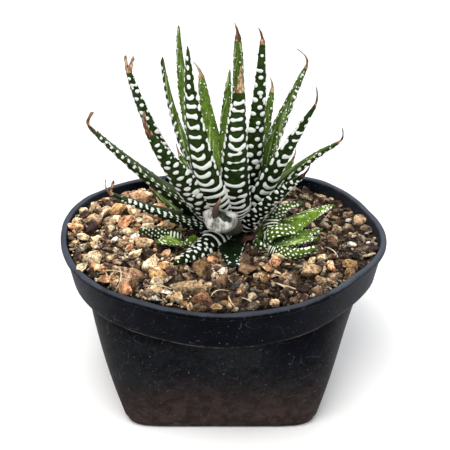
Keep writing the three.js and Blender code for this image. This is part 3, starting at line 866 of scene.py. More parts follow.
class LeafSettings(bpy.types.PropertyGroup):
    """The rosette's leaves."""

    cell: FloatProperty(name="Mesh step", description="Size of a leaf's faces",
                        default=0.00036, min=0.0002, unit="LENGTH")
    raised: FloatProperty(name="Mark height", description="How far the white marks stand up",
                          default=0.00034, min=0, unit="LENGTH")
    deep: FloatVectorProperty(name="Deep green", description="Outer face near the root",
                              default=(0.0025, 0.005, 0.0028), subtype="COLOR")
    mid: FloatVectorProperty(name="Outer green", description="Outer face near the tip",
                             default=(0.018, 0.039, 0.006), subtype="COLOR")
    inner_deep: FloatVectorProperty(name="Inner deep green", description="Inner face near the root",
                                    default=(0.006, 0.014, 0.006), subtype="COLOR")
    inner_fresh: FloatVectorProperty(name="Inner green", description="Inner face near the tip",
                                     default=(0.088, 0.155, 0.02), subtype="COLOR")
    white: FloatVectorProperty(name="White", description="The raised marks",
                               default=(0.73, 0.76, 0.71), subtype="COLOR")


class HAWORTHIA_OT_leaves(bpy.types.Operator):
    """Adds the rosette's banded leaves"""

    bl_idname = "haworthia.leaves"
    bl_label = "Add rosette leaves"

    def execute(self, context):
        look = context.scene.haworthia_leaves
        material = leaf_material("banded_leaf", look.deep[:], look.mid[:], look.inner_deep[:],
                                 look.inner_fresh[:], look.white[:], 0.34)
        for number, (node, (form, marks)) in enumerate(LEAVES.items()):
            draw = random.Random(100 + number)
            found = leaf_marks(form, Route(form), marks, draw)
            mesh = leaf_mesh(f"banded_{node}", form, look.cell / MM, marks, found, look.raised / MM)
            if node in FORKS:
                fork = leaf_mesh("fork", FORKS[node], look.cell / MM, replace(marks, dry_from=-1.0))
                mesh = joined(f"banded_{node}", [mesh, fork])
            add_piece(f"banded_{node}", mesh, material, (node,))
        return {"FINISHED"}


class FadedSettings(bpy.types.PropertyGroup):
    """The one leaf that has faded."""

    skin: FloatVectorProperty(name="Skin", description="Papery faded skin",
                              default=(0.57, 0.57, 0.53), subtype="COLOR")
    slit: FloatVectorProperty(name="Slit", description="The dark green inside the split end",
                              default=(0.010, 0.022, 0.009), subtype="COLOR")


def faded_material(skin, slit):
    """Papery grey-white skin with fine wrinkles and dark flecks, a dark split, and painted shade over
    the blade away from its end.
    """
    surface = Surface("faded_leaf")
    place = surface.attribute("place", "Vector")
    length, split, thorn = surface.numbers("share", "split", "thorn")
    wrinkles = place.stretched((1.4, 1.5, 0.1)).noise(1.0, 5.0, 0.76)
    flecks = place.noise(1.9, 2.0, 0.5).step(0.66, 0.74)
    folds = surface.position().noise(330, 3.0, 0.6)
    ridges = (wrinkles * 0.5 + folds * 0.5).step(0.42, 0.58)
    inside = surface.mix(wrinkles.step(0.5, 0.7) * 0.5, slit, (0.16, 0.2, 0.12))
    spine = length.ramp(((0.0, (0.022, 0.008, 0.006)), (0.6, (0.045, 0.016, 0.011)),
                         (0.88, (0.13, 0.062, 0.032)), (1.0, (0.28, 0.19, 0.12))))
    colour = surface.layered((0.14, 0.14, 0.12), (ridges, skin), (flecks * 0.7, (0.07, 0.08, 0.06)))
    # Painted shade: the blade darkens away from its end, toward the root, where it lies in shadow
    colour = surface.mix(length.step(0.66, 0.94), (0.07, 0.065, 0.05), colour)
    colour = surface.layered(colour, (split.step(0.35, 0.65), inside), (thorn, spine))
    return surface.finish(Base_Color=colour, Roughness=0.6 + 0.2 * wrinkles,
                          Normal=(wrinkles + 0.5 * folds).bump(0.0006))


class HAWORTHIA_OT_faded_leaf(bpy.types.Operator):
    """Adds the faded leaf that points at the viewer, with its split end and its spine"""

    bl_idname = "haworthia.faded_leaf"
    bl_label = "Add faded leaf"

    def execute(self, context):
        look = context.scene.haworthia_faded
        plain = Marks(tone=0.4)
        blade = leaf_mesh("faded", FADED_LEAF, FADED_CELL, plain)
        tip = Route(FADED_LEAF).points[ROUTE_SAMPLES - 1]
        points = coordinates(blade) / MM
        swollen = swell_end(points, tip)
        split = slit_mask(swollen, tip)
        rim = 4 * split * (1 - split)
        swollen = swollen + (1.7 * split - 0.3 * rim)[:, None] * FADED_SLIT_WAY
        place_vertices(blade, swollen)
        spine = leaf_mesh("spine", FADED_SPINE, SPINE_CELL, plain)
        for mesh, splits, thorn in ((blade, split, 0), (spine, 0, 1)):
            store(mesh, "split", splits)
            store(mesh, "thorn", thorn)
        mesh = joined("faded_leaf", [blade, spine])
        material = faded_material(look.skin[:], look.slit[:])
        add_piece("faded_leaf", mesh, material, ("leaf_18",))
        return {"FINISHED"}


def swell_end(points, tip):
    """Rounds a leaf's end out to a blunt cup about its last point."""
    away = points - tip
    distance = np.linalg.norm(away, axis=1)
    swollen = points + unit(away + 1e-9) * (0.25 * np.exp(-(distance / 4.0) ** 2))[:, None]
    from_spur = np.linalg.norm(points - (tip + FADED_SPUR), axis=1)
    lean = np.exp(-(from_spur / 0.9) ** 2)[:, None] * (0.9, 0, 0.5)
    # The end is lumpy, and smoother away from it
    for i, point in enumerate(swollen):
        lump = noise.noise(Vector(point) * 0.9) * 0.5 + noise.noise(Vector(point) * 2.4) * 0.3
        swollen[i] = point + away[i] / max(distance[i], 1) * lump * math.exp(-(distance[i] / 7) ** 2)
    return swollen + lean


def slit_mask(points, tip):
    """1 inside the slit of the faded leaf's end, as the front shows it."""
    right = points[:, 0] - tip[0] - 0.9
    up = (points[:, 2] - tip[2]) * 0.88 + (points[:, 1] - tip[1]) * 0.47 + 0.6
    # The slit slants down to the right
    lengthwise = (right * 0.83 - up * 0.56) / 3.5
    crosswise = (right * 0.56 + up * 0.83) / 1.25
    ragged = 0.16 * np.sin(2.6 * right + 1) + 0.1 * np.sin(6.1 * right - 2.2 * up)
    return smooth(1.6 + ragged - 1.2 * np.sqrt(lengthwise ** 2 + crosswise ** 2))


class OffsetSettings(bpy.types.PropertyGroup):
    """The two young offsets."""

    cell: FloatProperty(name="Mesh step", description="Size of an offset leaf's faces",
                        default=0.00026, min=0.0001, unit="LENGTH")
    raised: FloatProperty(name="Mark height", description="How far the white dots stand up",
                          default=0.00022, min=0, unit="LENGTH")
    deep: FloatVectorProperty(name="Deep green", description="Outer face near the root",
                              default=(0.016, 0.036, 0.012), subtype="COLOR")
    mid: FloatVectorProperty(name="Outer green", description="Outer face near the tip",
                             default=(0.075, 0.14, 0.012), subtype="COLOR")
    inner: FloatVectorProperty(name="Inner green", description="Inner face",
                               default=(0.12, 0.215, 0.016), subtype="COLOR")
    white: FloatVectorProperty(name="White", description="The raised dots",
                               default=(0.88, 0.93, 0.74), subtype="COLOR")


def offset_marks(form, route, draw):
    """Fine bands near the root, close rows of small dots over the outer face, dotted margins."""
    found = []
    distance = OFFSET_FIRST_ROW
    odd = False
    while distance < route.blade - 0.6:
        half, thick = girth(form, route, distance)
        span = outer_span(half, thick)
        radius = min(0.38, 0.3 * span) * draw.uniform(0.88, 1.12)
        if distance < 0.32 * route.blade:
            found += stroke_marks(distance, 0, 0.75, span, 0.27, draw.uniform(-0.2, 0.2), draw)
        else:
            count = max(1, round(1.7 * span / 1.2))
            turns = np.linspace(-0.76, 0.76, count) if count > 1 else np.zeros(1)
            for turn in turns + (0.08 if odd else -0.08):
                place = turn + draw.uniform(-0.03, 0.03)
                found.append((distance + draw.uniform(-0.12, 0.12), place, radius, radius, 1.0))
        for side in (-1, 1):
            shift = draw.uniform(-0.1, 0.5)
            found.append((distance + shift, side * 1.0, 0.95 * radius, 0.42, 1.0))
            for _ in range(2):
                if draw.random() < 0.36:
                    place = side * draw.uniform(1.12, 1.9)
                    small = draw.uniform(0.18, 0.3)
                    found.append((distance + draw.uniform(-0.5, 0.5), place, 1.3 * small, small, 1.0))
        odd = not odd
        distance += OFFSET_PITCH * draw.uniform(0.95, 1.05)
    return found


class HAWORTHIA_OT_offsets(bpy.types.Operator):
    """Adds the two offsets, each one piece of small dotted leaves"""

    bl_idname = "haworthia.offsets"
    bl_label = "Add offsets"

    def execute(self, context):
        look = context.scene.haworthia_offsets
        material = leaf_material("offset_leaf", look.deep[:], look.mid[:], look.deep[:],
                                 look.inner[:], look.white[:], 0.36)
        for number, (node, (foot, rows)) in enumerate(OFFSETS.items()):
            draw = random.Random(300 + number)
            leaves = []
            for *row, fresh in rows:
                form = Form(*row, foot=foot, root_radius=OFFSET_ROOT_RADIUS)
                found = offset_marks(form, Route(form), draw)
                marks = Marks(fresh=fresh, depth=0.6 * fresh, tone=0.3)
                leaves.append(leaf_mesh("young_leaf", form, look.cell / MM, marks, found,
                                        look.raised / MM))
            add_piece(f"young_{node}", joined(node, leaves), material, (node,))
        return {"FINISHED"}


class StemSettings(bpy.types.PropertyGroup):
    """The stem and the dead leaf bases round it."""

    scraps: IntProperty(name="Dead bases", description="Dead leaf bases round the crown",
                        default=16, min=0)
    bark: FloatVectorProperty(name="Bark", description="The stem and the dead bases",
                              default=(0.038, 0.011, 0.007), subtype="COLOR")


def bark_material(bark):
    """Dry fibrous brown."""
    surface = Surface("dead_base")
    position = surface.position()
    fibres = position.stretched((1.0, 1.0, 0.25)).noise(2200, 4.0, 0.7)
    patches = position.noise(260, 2.0, 0.5)
    colour = surface.mix(patches.step(0.4, 0.65), bark, (0.11, 0.034, 0.018))
    colour = surface.shaded(colour, 0.4 + 1.1 * fibres)
    return surface.finish(Base_Color=colour, Roughness=0.75 + 0.2 * patches,
                          Normal=fibres.bump(0.0003))


# Dead leaf bases: ranges of reach, tip height, bow, sway, width, tip width and roll
LOW_SCRAPS = ((7.5, 12), (55.8, 59.5), (-0.5, 1.5), (-1, 1), (3.5, 6.5), (1, 3), (-25, 25))
HIGH_SCRAPS = ((10, 15), (58, 62.5), (-0.5, 2), (-2, 2), (4, 7), (1.5, 3), (-40, 40))


def scrap(draw, azimuth, root_height, thickness, ranges):
    """One dead leaf base, drawn within its ranges."""
    reach, tip_height, bow, sway, width, tip_width, roll = (draw.uniform(*pair) for pair in ranges)
    form = Form(azimuth, reach, tip_height, root_height, bow, sway, width, thickness, tip_width, roll,
                (0, 0, 0.5), tip_thickness=0.5)
    return leaf_mesh("scrap", form, SCRAP_CELL)


class HAWORTHIA_OT_stem(bpy.types.Operator):
    """Adds the short stem and the dead leaf bases round it"""

    bl_idname = "haworthia.stem"
    bl_label = "Add stem"

    def execute(self, context):
        look = context.scene.haworthia_stem
        bm = bmesh.new()
        middle = Matrix.Translation((CROWN[0] * MM, CROWN[1] * MM, (STEM_FOOT + STEM_TOP) / 2 * MM))
        bmesh.ops.create_cone(bm, cap_ends=True, segments=32, radius1=STEM_FOOT_RADIUS * MM,
                              radius2=STEM_TOP_RADIUS * MM, depth=(STEM_TOP - STEM_FOOT) * MM,
                              matrix=middle)
        bmesh.ops.subdivide_edges(bm, edges=bm.edges, cuts=3, use_grid_fill=True)
        parts = [closed(written(bm, "stem"))]
        draw = random.Random(7)
        for i in range(look.scraps):
            azimuth = 360 * i / look.scraps + draw.uniform(-12, 12)
            parts.append(scrap(draw, azimuth, 54.5, 0.9, LOW_SCRAPS))
        for _ in range(look.scraps // 2):
            parts.append(scrap(draw, draw.uniform(-80, 5), 55, 0.8, HIGH_SCRAPS))
        add_piece("crown_stem", joined("crown_stem", parts), bark_material(look.bark[:]),
                  ("stem",))
        return {"FINISHED"}


class PotSettings(bpy.types.PropertyGroup):
    """The shallow plastic pot."""

    sides: IntProperty(name="Sides", description="Steps round the pot", default=192, min=36)
    plastic: FloatVectorProperty(name="Plastic", description="Black plastic",
                                 default=(0.0008, 0.0014, 0.0042), subtype="COLOR")
    # The lip's colour is a painted sheen, lighter grey-blue than the plastic
    lip: FloatVectorProperty(name="Lip", description="The scuffed lip",
                             default=(0.050, 0.058, 0.075), subtype="COLOR")
    dust: FloatVectorProperty(name="Dust", description="Dried soil on the pot",
                              default=(0.047, 0.031, 0.026), subtype="COLOR")


def pot_profile():
    """From the middle of the underside, out, up, over the lip and down to the floor inside."""
    edge = LIP_ROUNDING
    band_top = RIM_HEIGHT - LIP_HEIGHT
    inner = RIM_HALF - LIP_WIDTH
    fillet = (BASE_HALF - BASE_FILLET, BASE_FILLET)
    under = [(radius, 0) for radius in np.linspace(0, BASE_HALF - BASE_FILLET, 14)[:-1]]
    band_foot = (BAND_FOOT_HALF + 0.35, BODY_HEIGHT + 0.8)
    ledge = (BAND_FOOT_HALF - WALL, BODY_HEIGHT + WALL)
    return [
        *under,
        *arc(fillet, BASE_FILLET, -90, 0, 6),
        *body_rows(0, BASE_FILLET, BODY_HEIGHT - 0.3, 30)[1:],
        (body_half(BODY_HEIGHT) + 0.3, BODY_HEIGHT),
        *arc((BAND_FOOT_HALF - 0.3, BODY_HEIGHT + 0.3), 0.3, -90, 0, 4),
        *straight(band_foot, (RIM_HALF - LIP_OVERHANG, band_top), 14),
        (RIM_HALF - LIP_OVERHANG + 0.2, band_top + 0.1),
        *arc((RIM_HALF - edge, band_top + edge + 0.1), edge, -80, 0, 5),
        *arc((RIM_HALF - edge, RIM_HEIGHT - edge), edge, 0, 90, 6),
        *arc((inner + edge, RIM_HEIGHT - edge), edge, 90, 180, 6),
        *straight((inner, RIM_HEIGHT - edge), ledge, 14)[1:],
        *body_rows(WALL, FLOOR, BODY_HEIGHT + WALL, 20)[::-1],
        *[(radius, FLOOR) for radius in np.linspace(BASE_HALF - WALL, 0, 8)[1:]],
    ]


def drilled(mesh, radius, spread, depth):
    """The mesh with four round holes through its floor."""
    bm = bmesh.new()
    for x, y in ((-1, -1), (1, -1), (1, 1), (-1, 1)):
        place = Matrix.Translation((x * spread * MM, y * spread * MM, 0))
        bmesh.ops.create_cone(bm, cap_ends=True, segments=32, radius1=radius * MM,
                              radius2=radius * MM, depth=depth * MM, matrix=place)
    drill = linked("drill", written(bm, "drill"))
    blank = linked("blank", mesh)
    cut = blank.modifiers.new("holes", "BOOLEAN")
    cut.operation, cut.object, cut.solver = "DIFFERENCE", drill, "EXACT"
    graph = bpy.context.evaluated_depsgraph_get()
    result = bpy.data.meshes.new_from_object(blank.evaluated_get(graph))
    bpy.data.objects.remove(drill)
    bpy.data.objects.remove(blank)
    return result


def pot_material(plastic, lip, dust):
    """Satin black plastic: a painted sheen on the lip and on the sides, fine dust and scratches, and
    dried soil toward the foot.
    """
    surface = Surface("pot_plastic")
    # Positions are in metres
    position = surface.position()
    x, y, height = position.parts()
    cloud = position.noise(42, 4.0, 0.6)
    grime = position.noise(210, 5.0, 0.7)
    brushed = position.stretched((1, 1, 0.7)).noise(800, 4.0, 0.75)
    speck = position.noise(1500, 2.0, 0.5).step(0.69, 0.75)
    swirl = position.noise(90, 1.0, 0.4)
    scratch = 1 - abs(swirl - 0.5).step(0.0, 0.004)
    # Painted sheen: the top of the lip, above a ragged line, is lighter
    lip_sheen_mask = (height + (grime - 0.5) * 0.0010).step(0.0579, 0.0586)
    body = 1 - height.step(0.0438, 0.0448)
    low = 1 - (height + (cloud - 0.5) * 0.022).step(0.005, 0.033)
    # Painted sheen: the pot's sides, seen at a slant, are lighter
    side_sheen_mask = abs(x).step(0.030, 0.054)
    edge = 1 - abs(height - BODY_HEIGHT * MM).step(0.0002, 0.0007)
    dusty = body * (cloud * 0.5 + brushed * 0.5).step(0.44, 0.62)
    caked = body * low * (0.2 + 0.5 * brushed + 0.4 * grime.step(0.42, 0.6))
    # The lip's painted sheen, mottled, and darker toward the front
    lip_sheen = surface.shaded(lip, 0.6 + 0.8 * grime)
    lip_sheen = surface.mix(y.step(-0.034, -0.044) * 0.42, lip_sheen, (0.020, 0.020, 0.024))
    colour = surface.mix(cloud.step(0.4, 0.7) * 0.5, plastic, (0.003, 0.004, 0.007))
    colour = surface.layered(
        surface.shaded(colour, 0.45 + grime.step(0.40, 0.62)),
        (dusty * 0.2, (0.040, 0.042, 0.040)),
        (caked, dust),
        # Painted sheen on the sides: blue-grey on the band, and brown over the dust on the body
        (side_sheen_mask * (0.25 + 0.25 * grime), (0.055, 0.062, 0.075)),
        (body * side_sheen_mask * 0.35, (0.085, 0.065, 0.052)),
        (scratch * 0.22 * grime.step(0.42, 0.58), (0.16, 0.16, 0.17)),
        (speck * 0.5, (0.22, 0.20, 0.18)),
        (edge * 0.5 * grime.step(0.42, 0.56), (0.15, 0.115, 0.085)),
        (lip_sheen_mask, lip_sheen),
    )
    rough = 0.4 + 0.2 * cloud + 0.2 * body * low - 0.06 * lip_sheen_mask
    return surface.finish(Base_Color=colour, Roughness=rough, Specular_IOR_Level=0.03,
                          Normal=(grime + cloud * 2.0).bump(0.0002, 0.6))


class HAWORTHIA_OT_pot(bpy.types.Operator):
    """Adds the pot, with its lip, band, rounded square foot and drain holes"""

    bl_idname = "haworthia.pot"
    bl_label = "Add pot"

    def execute(self, context):
        look = context.scene.haworthia_pot
        mesh, points = turned("pot", pot_profile(), look.sides)
        angle = np.arctan2(points[:, 1], points[:, 0])
        lip = smooth((points[:, 2] - 50) / 8)
        ripple = sum(high * np.sin(waves * angle + phase) for waves, high, phase in LIP_RIPPLES)
        points[:, 2] += lip * ripple
        place_vertices(mesh, points)
        mesh = drilled(closed(mesh), DRAIN_RADIUS, DRAIN_SPREAD, 4 * FLOOR)
        mesh.shade_smooth()
        mesh.set_sharp_from_angle(angle=math.radians(40))
        material = pot_material(look.plastic[:], look.lip[:], look.dust[:])
        add_piece("nursery_pot", mesh, material, ("pot",))
        return {"FINISHED"}


class BedSettings(bpy.types.PropertyGroup):
    """The soil and the stones on it."""

    rings: IntProperty(name="Soil rings", description="Rings of faces over the soil", default=80)
    small_stones: IntProperty(name="Small stones", default=620,
                              description="Stones of about 2 mm, and half as many of about 4 mm")
    grit: IntProperty(name="Grit", description="Grains of 0.5 to 2 mm", default=3400)
    soil: FloatVectorProperty(name="Soil", description="Dark damp soil",
                              default=(0.018, 0.011, 0.0075), subtype="COLOR")


def soil_material(soil):
    """Dark crumbly soil with light and dark crumbs."""
    surface = Surface("crumbly_soil")
    position = surface.position()
    crumbs = position.noise(900, 5.0, 0.75)
    grains = position.cells(1400)
    patches = position.noise(120, 3.0, 0.6)
    colour = surface.mix(patches.step(0.35, 0.65), soil, (0.040, 0.024, 0.015))
    colour = surface.shaded(colour, 0.25 + 1.5 * crumbs)
    light = position.noise(1700, 2.0, 0.5).step(0.62, 0.70)
    colour = surface.mix(light * 0.75, colour, (0.34, 0.22, 0.13))
    return surface.finish(Base_Color=colour, Roughness=0.85 + 0.1 * patches, Specular_IOR_Level=0.15,
                          Normal=(crumbs * 2.0 + grains).bump(0.0006))


class HAWORTHIA_OT_soil(bpy.types.Operator):
    """Adds the soil that fills the pot"""

    bl_idname = "haworthia.soil"
    bl_label = "Add soil"

    def execute(self, context):
        look = context.scene.haworthia_bed
        ledge = BODY_HEIGHT + WALL
        sides = body_rows(WALL + SOIL_SIDE_GAP, FLOOR + GAP, ledge, 8)
        profile = [(0, FLOOR + GAP), *sides, (BAND_FOOT_HALF - WALL - GAP, ledge + GAP)]
        rings = np.linspace(SOIL_HALF, 0, look.rings + 1)
        profile += [(radius, RIM_HEIGHT) for radius in rings]
        mesh, points = turned("soil", profile, SOIL_SIDES)
        top = points[:, 2] > RIM_HEIGHT - 0.01
        heights = soil_top(points[:, 0], points[:, 1])
        for i in np.flatnonzero(top):
            place = Vector(points[i])
            rough = noise.fractal(place * 0.22, 0.9, 2.1, 3) * 0.55 + noise.noise(place * 1.1) * 0.45
            points[i, 2] = heights[i] + rough
        place_vertices(mesh, points)
        add_piece("potting_soil", closed(mesh), soil_material(look.soil[:]), ("soil",))
        return {"FINISHED"}


# Stone colours, by their place on the tint scale
STONE_TINTS = (
    (0.86, 0.67, 0.42), (0.60, 0.41, 0.23), (0.33, 0.20, 0.11), (0.52, 0.30, 0.125),
    (0.58, 0.27, 0.13), (0.44, 0.26, 0.15), (0.080, 0.036, 0.032), (0.085, 0.05, 0.033),
    (0.26, 0.24, 0.19), (0.010, 0.010, 0.010), (0.92, 0.86, 0.74),
)
PALE_TINTS = (0, 1, 4, 10)
FRONT_LEFT_SHARES = (8, 5, 4, 3, 2.6, 3, 3, 4, 0.5, 1.6, 0.9)
BACK_RIGHT_SHARES = (1.0, 1.3, 3, 1, 0.5, 3, 4, 10, 0.6, 2.2, 0.5)

# The stones that stand out: x, y, half size, and place on the tint scale
KNOWN_STONES = (
    (-41.3, -18.1, 3.7, 0), (-44.7, -24.3, 2.1, 0), (-47.0, -17.9, 1.9, 6), (-38.4, -6.0, 2.3, 9),
    (-42.7, -2.9, 2.2, 0), (-33.6, -6.3, 2.3, 1), (-36.1, -17.1, 2, 1), (-28.7, -13.8, 2.8, 0),
    (-29.5, -19.9, 2.3, 6), (-22.7, -19.7, 3.3, 0), (-18.5, -13.8, 2, 5), (-27.6, -29.2, 4, 5),
    (-20.9, -26.6, 2.8, 3), (-20.7, -32.1, 2.2, 0), (-16.9, -26.0, 2.4, 6), (-12.7, -31.0, 2.6, 9),
    (-12.5, -24.0, 1.6, 3), (-5.4, -24.4, 3.4, 3), (-15.8, -38.0, 1.9, 10), (-19.7, -43.1, 1.4, 10),
    (-28.6, -39.3, 2.7, 4), (-10.0, -35.7, 3.5, 1), (-14.0, -42.6, 2.6, 1), (-6.1, -43.0, 3.5, 4),
    (-19.5, -37.5, 1.8, 1), (-36.8, -26.8, 2, 3), (-40.3, -28.6, 2.4, 7), (-32.5, -29.8, 1.6, 3),
    (8.1, -23.0, 3.4, 2), (13.7, -29.2, 2.6, 3), (14.9, -21.8, 2, 2), (28.2, -25.5, 3.9, 1),
    (31.6, -30.1, 2.2, 1), (36.2, -22.4, 2.3, 4), (42.3, -20.5, 3.3, 3), (11.4, -36.3, 1.9, 8),
    (14.5, -36.3, 1.6, 3), (13.0, -39.2, 1.5, 7), (28.2, -40.0, 0.9, 10), (13.3, -45.6, 1.9, 7),
    (2.9, -46.6, 1.6, 1), (0.5, -31.6, 3, 2), (-4.5, -34.6, 1.8, 1), (-38.0, 19.1, 3.6, 3),
    (-45.0, 11.9, 2.8, 1), (-46.6, -2.9, 2.4, 0), (-26.7, 10.4, 2.4, 1), (-32.4, 2.9, 2.6, 0),
)
# Root fibres and straws: azimuth, length, rise, bow, sway, width, and where each starts
FIBRES = (
    (-83, 17, 0.5, -1.2, 2.2, 0.62, (-34.5, -21.4)), (-20, 12, 0.3, -0.4, 1.3, 0.4, (-38.5, -27)),
    (-75, 9, 0.6, -0.6, -0.8, 0.6, (2.6, -39.5)), (-40, 8, 0.4, -0.7, 0.8, 0.5, (4.4, -41.5)),
    (-55, 8, 0.6, -0.5, 0.4, 0.8, (16.5, -31.5)), (-35, 7, 0.5, -0.6, -0.5, 0.7, (18.6, -33)),
    (-65, 8.5, 0.4, -0.45, 0.7, 0.45, (35.2, -7)),
    (30, 6, 0.4, -0.5, 1.4, 0.35, (-3, -41)),
    (-60, 10, 0.4, -0.35, 1, 0.3, (-40, -24)), (60, 7, 1.6, -0.3, 0.3, 0.35, (36.4, 11)),
    (-10, 9, 0.3, -0.45, 0.9, 0.3, (-24, -36)),
)


class Draws:
    """The solid model's own repeatable numbers from 0 to 1."""

    def __init__(self, seed):
        self.state = seed

    def next(self):
        self.state = (self.state * 1664525 + 1013904223) % 2 ** 32
        return self.state / 2 ** 32


def spot(angle, share, half, room):
    """A place on the soil, some share of the way to an edge less the room kept there."""
    reach = share * (half * plan_factor(angle, RIM_HEIGHT) - room)
    return reach * math.cos(angle), reach * math.sin(angle)


def has_room(placed, x, y, size, spacing):
    """Whether a stone fits among those placed."""
    return all(math.hypot(a - x, b - y) > spacing * (other + size) for a, b, other in placed)


def solid_stones():
    """Places and half sizes of the stones of the solid model."""
    draws = Draws(20)
    # The solid model's first draws make its soil rough
    for _ in range(SOLID_RING_POINTS):
        draws.next()
    placed = []
    for _ in range(STONE_TRIES):
        if len(placed) == STONE_COUNT:
            break
        angle = draws.next() * math.tau
        share = math.sqrt(draws.next())
        size = mixed(STONE_MIN, STONE_MAX, draws.next() ** 1.6)
        x, y = spot(angle, share, SOIL_HALF, STONE_EDGE_ROOM * size)
        far = math.hypot(x - CROWN[0], y - CROWN[1]) > STONE_CROWN_ROOM
        if far and has_room(placed, x, y, size, STONE_SPACING):
            placed.append((x, y, size))
    return placed


def toward_right(x, y):
    """0 at the bed's front left, where the stones are coarse and pale, to 1 at its back right."""
    # A patch of fine dark debris lies at the pot's front
    debris = math.exp(-((x - 8) / 21) ** 2 - ((y + 38) / 11) ** 2)
    return min(1.0, float(smooth(0.5 + 0.019 * (x - 8) + 0.012 * (y + 12))) + debris)


def tint_at(draw, x, y):
    """A stone's tint: paler at the front left, browner at the back right."""
    share = toward_right(x, y)
    weights = [mixed(a, b, share) for a, b in zip(FRONT_LEFT_SHARES, BACK_RIGHT_SHARES)]
    return draw.choices(range(len(STONE_TINTS)), weights)[0]


def stone_light(draw, centre, tint, subdivisions):
    """A stone's painted light and shade: grit is dim, coarse pale stones bright, the front and right
    dimmer.
    """
    light = draw.uniform(0.28, 1.14) * (0.56 if subdivisions == 1 else 1)
    if subdivisions > 2 and tint in PALE_TINTS:
        light = mixed(light, 1.12, 0.55)
    front = float(smooth((-22 - centre[1]) / 14))
    return light * (mixed(1.24, 0.76, toward_right(centre[0], centre[1])) * (1 - 0.24 * front))


def chipped(point, flats, seed, coarse):
    """A ball's point after its flats and roughness, and 0 to 1 for how much of a corner it is."""
    for facing, depth in flats:
        over = point.dot(facing) - depth
        if over > 0:
            point -= facing * over
    reach = point.length
    if coarse:
        lumps = 0.20 * noise.noise(point * 1.9 + seed) - 0.20 * abs(noise.noise(point * 3.6 + seed))
        point *= 1.32 + lumps + 0.09 * noise.noise(point * 8.0 + seed)
    else:
        point *= 1.15 + 0.5 * noise.noise(point * 2.2 + seed)
    corner = 2.2 * (reach - 0.62) + 0.4 * noise.noise(point * 3 + seed)
    return point, min(max(corner, 0), 1)


def add_stone(bm, layers, draw, centre, size, tint, subdivisions, cuts, shape):
    """One angular stone: a ball with flats pressed into it, squashed and turned."""
    ball = bmesh.ops.create_icosphere(bm, subdivisions=subdivisions, radius=1)["verts"]
    flats = []
    for _ in range(cuts):
        facing = Vector((draw.gauss(0, 1), draw.gauss(0, 1), draw.gauss(0, 1))).normalized()
        flats.append((facing, draw.uniform(0.34, 0.68)))
    tilt = Euler((draw.uniform(-0.6, 0.6), draw.uniform(-0.6, 0.6), draw.uniform(0, math.tau)))
    turn = tilt.to_matrix()
    squash = Vector([side * draw.uniform(0.72, 1.22) for side in shape])
    seed = Vector((draw.uniform(0, 50), draw.uniform(0, 50), draw.uniform(0, 50)))
    shade = (tint + draw.uniform(0.1, 0.9)) / len(STONE_TINTS)
    light = stone_light(draw, centre, tint, subdivisions)
    tint_layer, corner_layer, light_layer = layers
    for vert in ball:
        point, corner = chipped(vert.co.copy(), flats, seed, subdivisions > 2)
        offset = turn @ (point * squash)
        vert.co = (Vector(centre) + offset * size) * MM
        vert[tint_layer] = shade
        vert[corner_layer] = corner
        # Painted light: each stone's top is lit and its foot shaded
        vert[light_layer] = light * min(max(0.55 + 0.9 * offset.z, 0), 1)


def clear_of(placed, x, y, size, spacing):
    """Whether a stone fits among those placed, and leaves the smaller offset in view."""
    if math.dist((x, y), SMALLER_OFFSET) < SMALLER_OFFSET_ROOM + size:
        return False
    return has_room(placed, x, y, size, spacing)


# Shapes of stones, as sides along three axes
STONE = (1.2, 1.0, 0.75)
CHIP = (1.7, 0.7, 0.4)
FLAKE = (1.7, 0.8, 0.28)


def stone_piece(name, material, stones):
    """A piece of many stones, made in small batches.

    Each row is centre, half size, tint, subdivisions, number of flats and shape.
    """
    draw = random.Random(len(stones))
    batches = []
    for start in range(0, len(stones), STONE_BATCH):
        bm = bmesh.new()
        layers = [bm.verts.layers.float.new(layer) for layer in ("tint", "corner", "light")]
        for stone in stones[start:start + STONE_BATCH]:
            add_stone(bm, layers, draw, *stone)
        batches.append(written(bm, "batch"))
    add_piece(name, joined(name, batches), material)


def stone_material():
    """Rough stone in many earth colours with soil stains, a painted highlight on its corners, and
    painted light and shade, soil brown toward its foot.
    """
    surface = Surface("stones")
    position = surface.position()
    tint, corner, light = surface.numbers("tint", "corner", "light")
    count = len(STONE_TINTS)
    stops = [(i / count, colour) for i, colour in enumerate(STONE_TINTS)]
    colour = tint.ramp(stops, "CONSTANT")
    patches = position.noise(420, 4.0, 0.65)
    grain = position.noise(1050, 4.0, 0.75)
    stain = position.noise(240, 3.0, 0.6)
    pits = position.noise(800, 3.0, 0.6).step(0.33, 0.42)
    ochre = surface.mix(0.6, colour, (0.50, 0.24, 0.08))
    colour = surface.mix(stain.step(0.52, 0.64) * 0.6, colour, ochre)
    # Dark soil brown, used for real soil stains and for painted shade
    soil_stain_and_shade = surface.mix(0.75, colour, (0.05, 0.028, 0.018))
    colour = surface.mix(stain.step(0.46, 0.34) * 0.4, colour, soil_stain_and_shade)
    # Painted highlight: the stones' corners are paler
    lit = surface.mix(0.66, colour, (0.98, 0.82, 0.56))
    colour = surface.mix(corner * patches.step(0.42, 0.6) * 0.8, colour, lit)
    # Painted shade: where a stone's painted light is low, toward its foot and in dim places, it turns
    # soil brown
    colour = surface.mix(light.step(0.12, 0.66), soil_stain_and_shade, colour)
    rough_light = patches.step(0.38, 0.62) + grain.step(0.38, 0.62)
    shade = (0.22 + 0.68 * rough_light) * (0.35 + 0.65 * pits)
    # Painted light: the colour is scaled by the stone's painted light
    colour = surface.shaded(colour, shade * (0.2 + 1.2 * light))
    height = patches * 3.0 + grain + pits
    return surface.finish(Base_Color=colour, Roughness=0.75 + 0.15 * patches, Specular_IOR_Level=0.25,
                          Normal=height.bump(0.0005))


